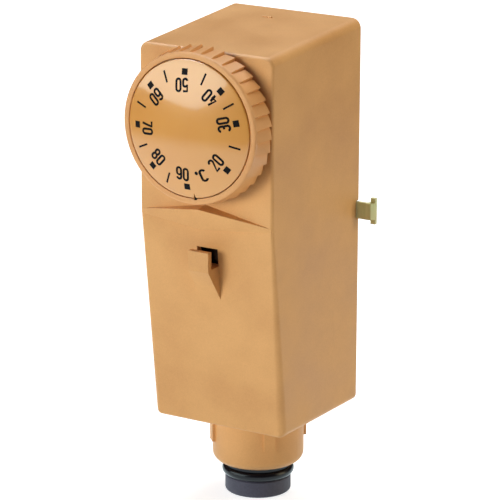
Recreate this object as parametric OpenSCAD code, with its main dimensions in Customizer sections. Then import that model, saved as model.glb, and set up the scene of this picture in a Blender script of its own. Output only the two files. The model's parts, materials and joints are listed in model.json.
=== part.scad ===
// Strap-on thermostat for a heating pipe, with a numbered dial and a cable gland.
// The origin is the middle of the metal face that touches the pipe. +Z is up and
// the dial faces -Y, so depths are counted forward, towards -Y, from that face.

/* [Case] */
// Width of the cover across its open back
case_w = 39; // [37:0.5:48]
// Height of the cover along its back edge
case_h = 100.5; // [96:0.5:125]
// Depth of the cover from its back edge to the dial face
case_d = 42.25; // [42:0.25:52]
// Thickness of the cover's walls
wall = 1.8; // [1.4:0.1:2.2]
// Radius of the cover's corners, seen from the front
corner_r = 2.5; // [1:0.1:4]
// How much narrower the cover is in front than at the back
front_taper = 0.6; // [0:0.1:1.2]
// Flat width of the bevel on the cover's upright front edges
edge_bevel = 0.7; // [0.3:0.1:1.2]
// Fall of the cover's top from its back edge to its front edge
top_fall = 2.4; // [0:0.1:4]
// Height above the bottom where the lower front starts to slope back
chin_h = 55.2; // [50:0.2:58]
// How far the front's bottom edge stands behind the dial face
chin_back = 6.05; // [3:0.05:7]
// Gap between parts that are fitted to each other by hand
fit_gap = 0.3; // [0.2:0.05:0.4]

/* [Visor under the dial] */
// Height of the visor's pointed upper edge above the bottom
visor_peak_h = 58.8; // [57:0.1:59.2]
// Height of the visor's ends above the bottom
visor_end_h = 55.6; // [54.5:0.1:56.5]
// Height of the visor's lower edge at the middle
visor_low_h = 53.4; // [51:0.1:54]
// How far the visor's peak stands in front of the dial face
visor_reach = 3.9; // [2:0.1:4.5]
// How far the visor's lower edge stands in front of the dial face
visor_low_reach = 2.4; // [1:0.1:3]

/* [Cover release] */
// Width of the release slot and of the hood in front of it
slot_w = 6; // [5.2:0.1:7]
// Height of the release slot's lower edge above the bottom
slot_low_h = 43.4; // [42:0.1:44]
// Height of the release slot's upper edge above the bottom
slot_high_h = 47.9; // [47.5:0.1:48.4]
// How far the hood's face stands in front of the dial face
hood_reach = 3.55; // [3.2:0.05:4]
// Thickness of the hood
hood_t = 1.6; // [1.2:0.1:1.8]
// Height above the bottom where the hood's face turns inward
hood_turn_h = 42.8; // [40:0.1:43]
// Height above the bottom where the hood meets the cover
hood_foot_h = 34.5; // [32:0.5:36]

/* [Dial knob] */
// Height of the dial's axis above the cover's bottom
dial_h = 79.9; // [79.5:0.1:80.5]
// Radius over the knob's ribs at its back edge
knob_r = 19.8; // [18:0.1:20]
// Radius of the knob's front rim
rim_r = 18.95; // [17.5:0.05:19.2]
// Length of the knob's skirt along its axis
skirt_l = 6.55; // [5.5:0.05:8]
// Gap between the knob's back edge and the cover
knob_gap = 1; // [0.6:0.1:2]
// Number of grip ribs round the knob
rib_count = 38; // [24:2:48]
// Depth of the step between one grip rib and the next
rib_step = 0.4; // [0.3:0.05:0.8]
// Width of the knob's front rim, outside the printed disc
rim_w = 1.5; // [1.2:0.1:2]
// Rise of the printed disc's dome
dome_rise = 2.3; // [0.5:0.1:3]
// Turn of the dial between its two stops, in degrees
dial_turn = 307; // [250:1:307]

/* [Cable entry] */
// Outer radius of the neck under the case
neck_r = 11.8; // [11.4:0.1:12.5]
// Length of the neck below the cover's bottom
neck_l = 14.8; // [13.5:0.1:18]
// Distance of the neck's axis in front of the cover's back edge
neck_depth = 16.7; // [15.5:0.1:18]
// Radius of the rounding on the neck's lower edge
neck_edge_r = 2.4; // [1:0.1:2.6]
// Radius of the neck's threaded bore
neck_bore_r = 9; // [8.6:0.05:9.1]
// Radius of the hole from the neck into the case
neck_throat_r = 6.4; // [5.8:0.1:7]
// Radius over the four ribs on the neck
neck_rib_r = 12.5; // [12.2:0.1:13]
// Width of each rib on the neck
neck_rib_w = 2.9; // [2:0.1:4]
// Length of each rib below the cover's bottom
neck_rib_l = 8.8; // [3:0.1:9.5]
// Radius of the gland nut's collar
collar_r = 9.35; // [9.2:0.05:10]
// Radius of the gland nut's grip
grip_r = 8.55; // [8:0.05:9]
// Length of the gland nut's grip below its collar
grip_l = 4.5; // [3.5:0.1:10]
// Radius of the hole that the cable passes through
cable_hole_r = 5.2; // [4:0.1:5.6]
// Free radius of the hole in the rubber seal
seal_hole_r = 4.6; // [3:0.1:5]

/* [Strap plate] */
// Height of the strap lugs above the cover's bottom
lug_h = 51; // [49:0.5:52]
// Thickness of the strap plate's sheet
sheet_t = 1; // [0.8:0.1:1.2]
// Width of each strap lug's arm
arm_w = 4.3; // [3.5:0.1:6]
// Reach of each arm beyond the cover's side
arm_reach = 3; // [2:0.1:6]
// Width over the ears at the end of each lug
ear_w = 6.8; // [6:0.1:9]
// Length of the ears along the arm
ear_l = 1.3; // [1:0.1:3]
// Thickness of the contact plate
contact_t = 1.2; // [1.1:0.1:2]
// Width of the contact plate
contact_w = 22; // [20:0.5:23]
// Height of the contact plate
contact_h = 38; // [34:0.5:44]

/* [Mechanism] */
// Thickness of the base's back wall
base_t = 2.2; // [1.8:0.1:2.6]
// Radius of the spindle where it carries the knob
spindle_r = 3; // [2.6:0.1:3.2]
// Radius of the spindle's threaded end
thread_r = 2.5; // [2:0.1:2.6]
// Running clearance of a shaft in its hole, on the radius
run_gap = 0.05; // [0.03:0.01:0.08]
// Thickness of the bracket's sheet
bracket_t = 1; // [0.8:0.1:1.1]
// Width of the switch block
switch_w = 24; // [22:0.5:25]
// Depth of the switch block from back to front
switch_d = 13; // [12.5:0.1:13.5]
// Radius of the switch button
button_r = 1.75; // [1.4:0.05:2]
// Radius of the push pin
pin_r = 1.6; // [1.2:0.05:2]
// Width of the bimetal strip
bimetal_w = 8; // [6:0.5:9]
// Thickness of the bimetal strip
bimetal_t = 0.8; // [0.5:0.1:0.9]
// Mean radius of the range spring's coil
spring_r = 3.55; // [3.5:0.05:3.9]
// Diameter of the range spring's wire
spring_wire = 0.9; // [0.6:0.1:0.9]
// Number of turns in the range spring
spring_turns = 3.5; // [2.5:0.5:4]
// Distance between neighbouring terminals
terminal_pitch = 8; // [7.4:0.1:8.2]

/* [Hidden] */
$fn = 64;
over = 1;

// The case, from the contact face forward and from the lugs up and down
back_y = -contact_t;
face_y = back_y - case_d;
bottom_z = -lug_h;
top_z = bottom_z + case_h;
dial_z = bottom_z + dial_h;
chin_z = bottom_z + chin_h;
sheet_y = back_y - sheet_t;
wall_y = sheet_y - base_t;
inner_half = case_w / 2 - wall;
base_half = inner_half - fit_gap;
function slope_y(z) = face_y + chin_back * max(0, chin_z - z) / chin_h;

// The dial, its stops and the disc
knob_back_y = face_y - knob_gap;
knob_front_y = knob_back_y - skirt_l;
knob_web_y = knob_front_y + 1.6;
knob_web_t = 1.3;
hub_r = spindle_r + 2.6;
disc_r = rim_r - rim_w - 0.05;
disc_edge_y = knob_front_y - 0.15;
stop_angle = 180 - (360 - dial_turn) / 2;
stop_r = 7;

// The bracket and what it carries
bracket_y = -33;
bracket_front_y = bracket_y - bracket_t;
cheek_in = switch_w / 2 + 0.2;
cheek_out = cheek_in + bracket_t;
bracket_low_z = 10;
bracket_high_z = 44;
bracket_foot_w = 3.4;
bush_r = spindle_r + run_gap + 1;
bush_l = 3;
bush_hex = 9;
bush_nut_hex = 11;
bush_nut_t = 2.2;
washer_y = bracket_front_y - bush_l - 1.2;
nut_back_y = -21;
nut_t = 3;
nut_half = 4.5;
spindle_end_y = nut_back_y + 1.2;
spindle_front_y = knob_web_y + 1.1;
flat_x = spindle_r - 0.8;
shoulder_y = bracket_y + 3;
clip_y = shoulder_y - 0.5;
clip_groove_w = 0.5;

// The lever that hangs from its pin
lever_y = -14.4;
lever_t = 1.2;
lever_half = 6;
lever_ear_r = 2.6;
lever_pin_r = 1.5;
lever_pin_y = -18;
lever_pin_z = 41;
lever_low_z = -4;

// The snap switch
switch_back_y = -18;
switch_front_y = switch_back_y - switch_d;
switch_low_z = -14;
switch_high_z = 9.5;
button_z = 0;
button_tip_y = lever_y - lever_t - 0.1;
cavity_half = switch_w / 2 - 1.8;
cavity_low_z = switch_low_z + 3.8;
cavity_high_z = switch_high_z - 4;
cavity_back_y = switch_back_y - 1.8;
blade_y = -24.2;
blade_t = 0.4;
bolt_r = 1.2;
bolt_y = switch_back_y - 6;
bolt_zs = [switch_low_z + 1.9, switch_high_z - 2];

// The terminals under the switch
terminal_low_z = switch_low_z - 8;
terminal_half = 2.8;
terminal_front_y = switch_front_y + 1;
terminal_back_y = terminal_front_y + 7.5;
terminal_screw_z = switch_low_z - 4;
terminal_xs = [-terminal_pitch, 0, terminal_pitch];
wire_hole_r = 1.5;
wire_hole_l = 6;
screw_shank_r = 1.45;

// The sensing side: pad, bimetal strip and push pin
pad_y = back_y - 5.2;
pad_half = 6;
pad_low_z = -15;
pad_high_z = -1;
bimetal_y = pad_y - bimetal_t;
bimetal_high_z = 23;
push_pin_z = 20;
guide_y = -12.6;
guide_t = 3;

bimetal_rivet_r = 1;
bimetal_rivet_l = 2.9;
bimetal_rivet_zs = [pad_low_z + 4, pad_high_z - 4];

// The earth terminal
earth_x = -11;
earth_z = -30;
earth_r = 2;
earth_boss_r = 3.6;
earth_boss_y = wall_y - 3;
earth_washer_t = 1;

// The strap plate and the rivets through it; the upper pair clears the bracket's cheeks
plate_half = base_half - 0.6;
plate_low_z = earth_z - 5;
plate_high_z = bracket_high_z - 2;
rivet_r = 1.2;
rivet_head_r = 2.1;
rivet_head_t = 0.6;
contact_rivet_z = 14;
contact_rivet_x = contact_w / 2 - rivet_head_r - 0.5;
upper_rivet_x = min(contact_rivet_x, cheek_in - rivet_head_r - fit_gap);
bracket_rivet_x = cheek_out + 1.9;
contact_rivet_places = [
    for (side = [-1, 1]) [side * contact_rivet_x, -contact_rivet_z],
    for (side = [-1, 1]) [side * upper_rivet_x, contact_rivet_z]
];
bracket_rivet_places = [for (side = [-1, 1], z = [16, 38]) [side * bracket_rivet_x, z]];

// The range spring's wire, as rings of points
wire_sides = 8;
rings_per_turn = 18;

// The cover's catch
catch_y = -35.5;
catch_z = bottom_z + 50.5;
catch_pin_r = 1;
catch_half = slot_w / 2;
catch_left = -catch_half + 0.2;
catch_right = catch_half - 1.2;
catch_hub_r = 2.1;
ear_in = catch_half + 0.5;
lip_y = catch_y - 2.4;
rib_low_z = catch_z + 2.9;
rib_high_z = catch_z + 4.3;
hook_low_z = catch_z + 1.2;
hook_t = 1.2;

// The gland under the neck
neck_y = back_y - neck_depth;
neck_low_z = bottom_z - neck_l;
shoulder_z = bottom_z - 5;
seal_t = 2.9;
washer_t = 0.8;
collar_gap = 1.2;
collar_t = 2.6;
collar_high_z = neck_low_z - collar_gap;
grip_low_z = collar_high_z - collar_t - grip_l;

// A box from its lowest to its highest corner
module block(low, high) {
    translate(low) cube(high - low);
}

// A flat shape of (x, z) points made solid from y0 back to y1
module extrude_y(y0, y1) {
    translate([0, y1, 0]) rotate([90, 0, 0]) linear_extrude(y1 - y0) children();
}

// A flat shape of (y, z) points made solid from x0 across to x1
module extrude_x(x0, x1) {
    translate([x0, 0, 0]) rotate([90, 0, 90]) linear_extrude(x1 - x0) children();
}

// A flat shape of (x, y) points made solid from z0 up to z1
module extrude_z(z0, z1) {
    translate([0, 0, z0]) linear_extrude(z1 - z0) children();
}

// A round bar from y0 back to y1
module rod_y(r, y0, y1, x = 0, z = 0) {
    translate([x, y0, z]) rotate([-90, 0, 0]) cylinder(r = r, h = y1 - y0);
}

// A round bar from x0 across to x1
module rod_x(r, x0, x1, y, z) {
    translate([x0, y, z]) rotate([0, 90, 0]) cylinder(r = r, h = x1 - x0);
}

// A six-sided bar from y0 back to y1, across_flats wide
module hex_y(across_flats, y0, y1, x = 0, z = 0) {
    translate([x, y0, z]) rotate([-90, 0, 0]) rotate(30)
        cylinder(d = across_flats / cos(30), h = y1 - y0, $fn = 6);
}

// A rectangle of (x, z) points with round corners
module rounded_rect(x0, z0, x1, z1, r) {
    translate([x0 + r, z0]) square([x1 - x0 - 2 * r, z1 - z0]);
    translate([x0, z0 + r]) square([x1 - x0, z1 - z0 - 2 * r]);
    for (x = [x0 + r, x1 - r], z = [z0 + r, z1 - r])
        translate([x, z]) circle(r);
}

// Side view of the case: level bottom, sloping lower front, upright dial face
function side_outline(inset, back) = [
    [back, bottom_z + inset],
    [slope_y(bottom_z) + inset, bottom_z + inset],
    [face_y + inset, chin_z],
    [face_y + inset, top_z - top_fall - inset],
    [back_y, top_z - inset],
    [back, top_z - inset]
];

// Top view of the case: sides drawn in towards the front, front edges bevelled
function plan_outline(inset, back) = [
    [case_w / 2 - inset, back],
    [(case_w - front_taper) / 2 - inset, face_y + inset + edge_bevel],
    [(case_w - front_taper) / 2 - inset - edge_bevel, face_y + inset],
    [-(case_w - front_taper) / 2 + inset + edge_bevel, face_y + inset],
    [-(case_w - front_taper) / 2 + inset, face_y + inset + edge_bevel],
    [-case_w / 2 + inset, back]
];

// The whole case block, or the same block drawn in by inset all round
module case_block(inset, back) {
    intersection() {
        extrude_x(-case_w, case_w) polygon(side_outline(inset, back));
        extrude_y(face_y - over, back)
            rounded_rect(-case_w / 2 + inset, bottom_z + inset, case_w / 2 - inset,
                top_z - inset, corner_r - min(inset, corner_r - 0.7));
        translate([0, 0, bottom_z - over])
            linear_extrude(case_h + 2 * over) polygon(plan_outline(inset, back));
    }
}

// Faceted visor under the dial, pointed in the middle
module visor() {
    end_x = (case_w - front_taper) / 2 - 0.4;
    end_z = bottom_z + visor_end_h;
    points = [
        [0, face_y - visor_reach, bottom_z + visor_peak_h],
        [0, face_y - visor_low_reach, bottom_z + visor_low_h],
        [-end_x, face_y, end_z],
        [-end_x, face_y, end_z - 1.2],
        [end_x, face_y, end_z],
        [end_x, face_y, end_z - 1.2],
        [0, face_y + wall / 2, bottom_z + visor_peak_h + 0.4],
        [0, face_y + wall / 2, bottom_z + visor_low_h - 0.6]
    ];
    faces = [
        [0, 1, 2], [1, 3, 2], [0, 4, 1], [1, 4, 5], [0, 2, 6], [0, 6, 4],
        [1, 7, 3], [1, 5, 7], [2, 7, 6], [2, 3, 7], [4, 7, 5], [4, 6, 7]
    ];
    polyhedron(points, faces);
}

// Hood in front of the release slot, open above and at its sides
module release_hood() {
    outer_y = face_y - hood_reach;
    foot_z = bottom_z + hood_foot_h;
    low_z = bottom_z + slot_low_h;
    extrude_x(-slot_w / 2, slot_w / 2) polygon([
        [outer_y, bottom_z + slot_high_h],
        [outer_y + hood_t, bottom_z + slot_high_h],
        [outer_y + hood_t, low_z],
        [slope_y(low_z) + wall / 2, low_z],
        [slope_y(foot_z) + wall / 2, foot_z - 1.2],
        [slope_y(foot_z), foot_z],
        [outer_y, bottom_z + hood_turn_h]
    ]);
}

// Rib inside the cover, with a lip that the catch holds
module catch_rib() {
    root_y = slope_y(catch_z) + wall / 2;
    extrude_x(-slot_w / 2, slot_w / 2) polygon([
        [root_y, rib_high_z],
        [lip_y, rib_high_z],
        [lip_y, hook_low_z],
        [lip_y - hook_t, hook_low_z],
        [lip_y - hook_t, rib_low_z],
        [root_y, rib_low_z]
    ]);
}

module cover() {
    slot_half = slot_w / 2;
    low_z = bottom_z + slot_low_h;
    high_z = bottom_z + slot_high_h;
    color("sandybrown") {
        difference() {
            union() {
                case_block(0, back_y);
                visor();
                release_hood();
            }
            case_block(wall, back_y + over);
            rod_y(spindle_r + 2, face_y - over, face_y + wall + over, 0, dial_z);
            block([-slot_half, slope_y(low_z) - 0.6, low_z],
                [slot_half, slope_y(low_z) + wall + over, high_z]);
            block([-case_w, sheet_y - fit_gap, -arm_w / 2 - fit_gap],
                [case_w, back_y + over, arm_w / 2 + fit_gap]);
            translate([0, neck_y, bottom_z - over])
                cylinder(r = neck_r + fit_gap, h = wall + 2 * over);
            block([-neck_r - fit_gap, neck_y, bottom_z - over],
                [neck_r + fit_gap, back_y + over, bottom_z + wall + over]);
        }
        catch_rib();
    }
}

// Cross-section of the neck: outside, rounded lower edge, stepped bore
module neck_tube(top) {
    translate([0, neck_y, 0]) difference() {
        union() {
            translate([0, 0, neck_low_z + neck_edge_r])
                cylinder(r = neck_r, h = top - neck_low_z - neck_edge_r);
            translate([0, 0, neck_low_z])
                cylinder(r = neck_r - neck_edge_r, h = neck_edge_r + over);
            translate([0, 0, neck_low_z + neck_edge_r]) rotate_extrude()
                translate([neck_r - neck_edge_r, 0]) circle(neck_edge_r);
        }
        translate([0, 0, neck_low_z - over]) cylinder(r = neck_throat_r, h = case_h);
        translate([0, 0, neck_low_z - over])
            cylinder(r = neck_bore_r, h = shoulder_z - neck_low_z + over);
    }
}

// Bridge over the bimetal strip that guides the push pin
module pin_bridge() {
    leg_t = 2.5;
    leg_in = bimetal_w / 2 + 1.5;
    low_z = push_pin_z - 3.5;
    high_z = push_pin_z + 3.5;
    difference() {
        union() {
            block([-leg_in - leg_t, guide_y, low_z], [leg_in + leg_t, guide_y + guide_t, high_z]);
            for (x = [-leg_in - leg_t, leg_in])
                block([x, guide_y, low_z], [x + leg_t, wall_y + 0.5, high_z]);
        }
        rod_y(pin_r + run_gap, guide_y - over, guide_y + guide_t + over, 0, push_pin_z);
    }
}

module base() {
    floor_z = bottom_z + wall + fit_gap;
    floor_t = 2;
    floor_front_y = neck_y - neck_r - 1.5;
    fence_t = 1.5;
    fence_x = base_half - fence_t / 2 - 0.2;
    fence_high_z = 5;
    color("sandybrown") {
        difference() {
            union() {
                block([-base_half, wall_y, floor_z],
                    [base_half, sheet_y, top_z - wall - 2 * fit_gap]);
                block([-base_half + 0.3, floor_front_y, floor_z],
                    [base_half - 0.3, wall_y + over, floor_z + floor_t]);
                for (x = [-fence_x, fence_x])
                    block([x - fence_t / 2, wall_y - 6, floor_z],
                        [x + fence_t / 2, wall_y + over, fence_high_z]);
                rod_y(earth_boss_r, earth_boss_y, wall_y + 0.5, earth_x, earth_z);
            }
            block([-pad_half - fit_gap, wall_y - over, pad_low_z - fit_gap],
                [pad_half + fit_gap, sheet_y + over, pad_high_z + fit_gap]);
            for (p = contact_rivet_places)
                rod_y(rivet_r + run_gap, wall_y - over, sheet_y + over, p[0], p[1]);
            for (p = bracket_rivet_places)
                rod_y(rivet_r + run_gap, wall_y - over, sheet_y + over, p[0], p[1]);
            rod_y(earth_r + run_gap, earth_boss_y - over, sheet_y + over, earth_x, earth_z);
            translate([0, neck_y, floor_z - over])
                cylinder(r = neck_throat_r, h = floor_t + 2 * over);
        }
        neck_tube(floor_z + floor_t);
        neck_ribs();
        pin_bridge();
    }
}

// Four short ribs round the neck, just under the cover
module neck_ribs() {
    high_z = bottom_z - 0.2;
    for (turn = [45 : 90 : 315])
        translate([0, neck_y, 0]) rotate([0, 0, turn])
            block([neck_r - 0.6, -neck_rib_w / 2, high_z - neck_rib_l],
                [neck_rib_r, neck_rib_w / 2, high_z]);
}

// One lug: an arm, a step back and two ears that hold a strap
module strap_lug() {
    arm_end = case_w / 2 + arm_reach;
    step = 1.1;
    ear_x = arm_end + 0.5;
    extrude_z(-arm_w / 2, arm_w / 2) polygon([
        [plate_half - over, back_y],
        [arm_end - 0.5, back_y],
        [arm_end + 0.2, back_y + step],
        [ear_x + ear_l, back_y + step],
        [ear_x + ear_l, sheet_y + step],
        [ear_x + 0.2, sheet_y + step],
        [arm_end, sheet_y],
        [plate_half - over, sheet_y]
    ]);
    block([ear_x, sheet_y + step, -ear_w / 2], [ear_x + ear_l, back_y + step, ear_w / 2]);
}

module strap_plate() {
    color("khaki") difference() {
        union() {
            block([-plate_half, sheet_y, plate_low_z], [plate_half, back_y, plate_high_z]);
            strap_lug();
            mirror([1, 0, 0]) strap_lug();
        }
        block([-pad_half - fit_gap, sheet_y - over, pad_low_z - fit_gap],
            [pad_half + fit_gap, back_y + over, pad_high_z + fit_gap]);
        for (p = contact_rivet_places)
            rod_y(rivet_r + run_gap, sheet_y - over, back_y + over, p[0], p[1]);
        for (p = bracket_rivet_places)
            rod_y(rivet_r + run_gap, sheet_y - over, back_y + over, p[0], p[1]);
        rod_y(earth_r + run_gap, sheet_y - over, back_y + over, earth_x, earth_z);
    }
}

module contact_plate() {
    color("gold") difference() {
        union() {
            block([-contact_w / 2, back_y, -contact_h / 2], [contact_w / 2, 0, contact_h / 2]);
            block([-pad_half, pad_y, pad_low_z], [pad_half, back_y + 0.5, pad_high_z]);
        }
        for (p = contact_rivet_places) {
            rod_y(rivet_r + run_gap, back_y - over, over, p[0], p[1]);
            rod_y(rivet_head_r + run_gap, -rivet_head_t, over, p[0], p[1]);
        }
        for (z = bimetal_rivet_zs)
            rod_y(bimetal_rivet_r + run_gap, pad_y - over, pad_y + bimetal_rivet_l + 0.1, 0, z);
    }
}

// Rivets through the contact plate, the strap plate and the base
module contact_rivets() {
    color("silver") for (p = contact_rivet_places) {
        rod_y(rivet_r, wall_y - 0.1, -rivet_head_t + 0.1, p[0], p[1]);
        rod_y(rivet_head_r, wall_y - rivet_head_t - 0.05, wall_y - 0.05, p[0], p[1]);
        rod_y(rivet_head_r, -rivet_head_t + 0.05, -0.05, p[0], p[1]);
    }
}

// Side view of a bracket cheek: deep beside the lever, shallow beside the switch
function cheek_outline() = [
    [wall_y, bracket_low_z],
    [wall_y, bracket_high_z],
    [bracket_front_y, bracket_high_z],
    [bracket_front_y, bracket_low_z],
    [switch_front_y, bracket_low_z],
    [switch_front_y, switch_low_z],
    [switch_back_y, switch_low_z],
    [switch_back_y, bracket_low_z]
];

module bracket() {
    finger_x = nut_half + 0.9;
    catch_ear_x = ear_in + 0.5;
    sheet_half = bracket_t / 2;
    color("khaki") difference() {
        union() {
            for (side = [-1, 1]) {
                inner = side * cheek_in;
                outer = side * cheek_out;
                extrude_x(min(inner, outer), max(inner, outer)) polygon(cheek_outline());
                foot = outer + side * bracket_foot_w;
                block([min(outer, foot), wall_y - bracket_t, bracket_low_z + 2],
                    [max(outer, foot), wall_y, bracket_high_z - 2]);
                block([side * catch_ear_x - sheet_half, catch_y - 1.8, catch_z - 1.8],
                    [side * catch_ear_x + sheet_half, bracket_y, bracket_low_z + 2]);
                block([side * finger_x - sheet_half, bracket_y - 0.5, dial_z - 3],
                    [side * finger_x + sheet_half, nut_back_y + 1.2, dial_z + 3]);
            }
            block([-cheek_out, bracket_front_y, bracket_low_z],
                [cheek_out, bracket_y, bracket_high_z]);
            block([-1.2, washer_y - 0.4, dial_z - stop_r - 1],
                [1.2, bracket_front_y + 0.5, dial_z - stop_r + 0.4]);
        }
        rod_y(bush_r + run_gap, bracket_front_y - over, bracket_y + over, 0, dial_z);
        rod_x(lever_pin_r + run_gap, -cheek_out - over, cheek_out + over, lever_pin_y, lever_pin_z);
        rod_x(catch_pin_r + run_gap, -ear_in - 2, ear_in + 2, catch_y, catch_z);
        for (z = bolt_zs)
            rod_x(bolt_r + run_gap, -cheek_out - over, cheek_out + over, bolt_y, z);
        for (p = bracket_rivet_places)
            rod_y(rivet_r + run_gap, wall_y - bracket_t - over, wall_y + over, p[0], p[1]);
    }
}

// Rivets through the bracket's feet, the base and the strap plate
module bracket_rivets() {
    front_y = wall_y - bracket_t;
    color("silver") for (p = bracket_rivet_places) {
        rod_y(rivet_r, front_y - 0.1, back_y + 0.1, p[0], p[1]);
        rod_y(rivet_r + 0.4, front_y - rivet_head_t - 0.05, front_y - 0.05, p[0], p[1]);
        rod_y(rivet_head_r, back_y + 0.05, back_y + rivet_head_t, p[0], p[1]);
    }
}

module bush() {
    color("goldenrod") difference() {
        union() {
            rod_y(bush_r, bracket_front_y - bush_l, shoulder_y - 0.6, 0, dial_z);
            hex_y(bush_hex, bracket_y + 0.02, shoulder_y - 0.9, 0, dial_z);
        }
        rod_y(spindle_r + run_gap, bracket_front_y - bush_l - over, shoulder_y + over, 0, dial_z);
    }
}

module bush_nut() {
    color("silver") difference() {
        hex_y(bush_nut_hex, bracket_front_y - bush_nut_t, bracket_front_y - 0.02, 0, dial_z);
        rod_y(bush_r + run_gap, bracket_front_y - bush_nut_t - over, bracket_front_y + over,
            0, dial_z);
    }
}

// Section of the spindle's front end: its flat turns the knob and the stop washer
module d_section(r, flat) {
    intersection() {
        circle(r);
        translate([-2 * r, -2 * r]) square([2 * r + flat, 4 * r]);
    }
}

module spindle() {
    color("gainsboro") difference() {
        union() {
            translate([0, 0, dial_z]) extrude_y(spindle_front_y, washer_y + 1.1)
                d_section(spindle_r, flat_x);
            rod_y(spindle_r, washer_y + 1.05, clip_y + 0.8, 0, dial_z);
            rod_y(thread_r, clip_y, spindle_end_y, 0, dial_z);
        }
        difference() {
            rod_y(spindle_r + over, clip_y, clip_y + clip_groove_w, 0, dial_z);
            rod_y(spindle_r - 0.5, clip_y - over, clip_y + over, 0, dial_z);
        }
    }
}

// Open clip in the spindle's groove, behind the bush
module spindle_clip() {
    color("dimgray") translate([0, 0, dial_z])
        extrude_y(clip_y + 0.05, clip_y + clip_groove_w - 0.05) difference() {
            circle(spindle_r + 1.4);
            circle(spindle_r - 0.45);
            translate([-1.6, 0]) square([3.2, 2 * spindle_r]);
        }
}

// Washer with an arm that meets the bracket's tongue at either end of the turn
module stop_washer() {
    color("silver") translate([0, 0, dial_z]) extrude_y(washer_y, washer_y + 1)
        difference() {
            union() {
                circle(spindle_r + 1.8);
                rotate(-stop_angle) translate([-1.5, 0]) square([3, stop_r + 1]);
            }
            d_section(spindle_r + run_gap, flat_x + run_gap);
        }
}

// Grip ribs: a saw-toothed ring whose teeth stand out more towards the back
module knob_ribs() {
    pitch = 360 / rib_count;
    teeth = [
        for (i = [0 : rib_count - 1], step = [0, 1])
            let (angle = (i + step) * pitch, r = knob_r - rib_step * (1 - step))
                [r * sin(angle), r * cos(angle)]
    ];
    intersection() {
        extrude_y(knob_front_y + 0.5, knob_back_y) polygon(teeth);
        translate([0, knob_back_y, 0]) rotate([90, 0, 0])
            cylinder(r1 = knob_r + 0.05, r2 = rim_r, h = skirt_l);
    }
}

module knob() {
    skirt_t = 1.7;
    core_r = knob_r - rib_step - 0.1;
    color("sandybrown") translate([0, 0, dial_z]) difference() {
        union() {
            knob_ribs();
            translate([0, knob_back_y, 0]) rotate([90, 0, 0])
                cylinder(r1 = core_r, r2 = rim_r, h = skirt_l);
        }
        rod_y(rim_r - rim_w, knob_front_y - over, knob_web_y);
        difference() {
            rod_y(core_r - skirt_t, knob_web_y + knob_web_t, knob_back_y + over);
            rod_y(hub_r, knob_web_y, knob_back_y + 2 * over);
        }
        extrude_y(spindle_front_y - 0.3, knob_back_y + over)
            d_section(spindle_r + run_gap, flat_x + run_gap);
    }
}

// Printed disc with a low dome, set into the knob's rim
module dial_disc() {
    steps = 8;
    thickness = knob_web_y - 0.02 - disc_edge_y;
    dome = [
        for (i = [0 : steps])
            let (out = disc_r * (1 - i / steps))
                [out, thickness + dome_rise * (1 - pow(out / disc_r, 2))]
    ];
    color("wheat") translate([0, knob_web_y - 0.02, dial_z]) rotate([90, 0, 0])
        rotate_extrude() polygon(concat([[0, 0], [disc_r, 0]], dome));
}

module adjusting_nut() {
    color("goldenrod") difference() {
        block([-nut_half, nut_back_y - nut_t, dial_z - nut_half],
            [nut_half, nut_back_y, dial_z + nut_half]);
        rod_y(thread_r + run_gap, nut_back_y - nut_t - over, nut_back_y + over, 0, dial_z);
    }
}

// Points of a round wire wound along +Z, and the faces between its rings
function coil_points(r, wire_r, turns, length) = [
    for (i = [0 : turns * rings_per_turn], j = [0 : wire_sides - 1])
        let (
            turn = 360 * i / rings_per_turn,
            around = 360 * j / wire_sides,
            out = r + wire_r * cos(around)
        )
            [out * cos(turn), out * sin(turn),
                length * i / (turns * rings_per_turn) + wire_r * sin(around)]
];
function coil_faces(turns) = concat(
    [[for (j = [0 : wire_sides - 1]) j]],
    [
        for (i = [0 : turns * rings_per_turn - 1], j = [0 : wire_sides - 1], half = [0, 1])
            let (
                a = i * wire_sides + j,
                b = i * wire_sides + (j + 1) % wire_sides
            )
                half == 0 ? [a, a + wire_sides, b] : [b, a + wire_sides, b + wire_sides]
    ],
    [[for (j = [wire_sides - 1 : -1 : 0]) turns * rings_per_turn * wire_sides + j]]
);

// Range spring between the adjusting nut and the lever
module range_spring() {
    wire_r = spring_wire / 2;
    front_y = nut_back_y + wire_r + 0.02;
    back = lever_y - lever_t - wire_r - 0.02;
    color("silver") translate([0, front_y, dial_z]) rotate([-90, 0, 0])
        polyhedron(coil_points(spring_r, wire_r, spring_turns, back - front_y),
            coil_faces(spring_turns));
}

module lever() {
    front_y = lever_y - lever_t;
    ear_t = 1;
    color("silver") difference() {
        union() {
            block([-lever_half, front_y, lever_low_z], [lever_half, lever_y, lever_pin_z + 2.2]);
            rod_y(spring_r - spring_wire / 2 - 0.5, front_y - 0.7, front_y + 0.5, 0, dial_z);
            for (x = [-lever_half, lever_half - ear_t]) {
                rod_x(lever_ear_r, x, x + ear_t, lever_pin_y, lever_pin_z);
                block([x, lever_pin_y, lever_pin_z - lever_ear_r],
                    [x + ear_t, front_y + 0.5, lever_pin_z + 2.2]);
            }
        }
        rod_x(lever_pin_r + run_gap, -lever_half - over, lever_half + over,
            lever_pin_y, lever_pin_z);
    }
}

module lever_pin() {
    color("gainsboro") {
        rod_x(lever_pin_r, -cheek_out - 0.8, cheek_out + 0.8, lever_pin_y, lever_pin_z);
        for (x = [-cheek_out - 0.85, cheek_out + 0.05])
            rod_x(lever_pin_r + 0.6, x, x + 0.8, lever_pin_y, lever_pin_z);
    }
}

module bimetal() {
    color("darkgray") difference() {
        block([-bimetal_w / 2, bimetal_y, pad_low_z + 1],
            [bimetal_w / 2, pad_y, bimetal_high_z]);
        for (z = bimetal_rivet_zs)
            rod_y(bimetal_rivet_r + run_gap, bimetal_y - over, pad_y + over, 0, z);
    }
}

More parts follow.
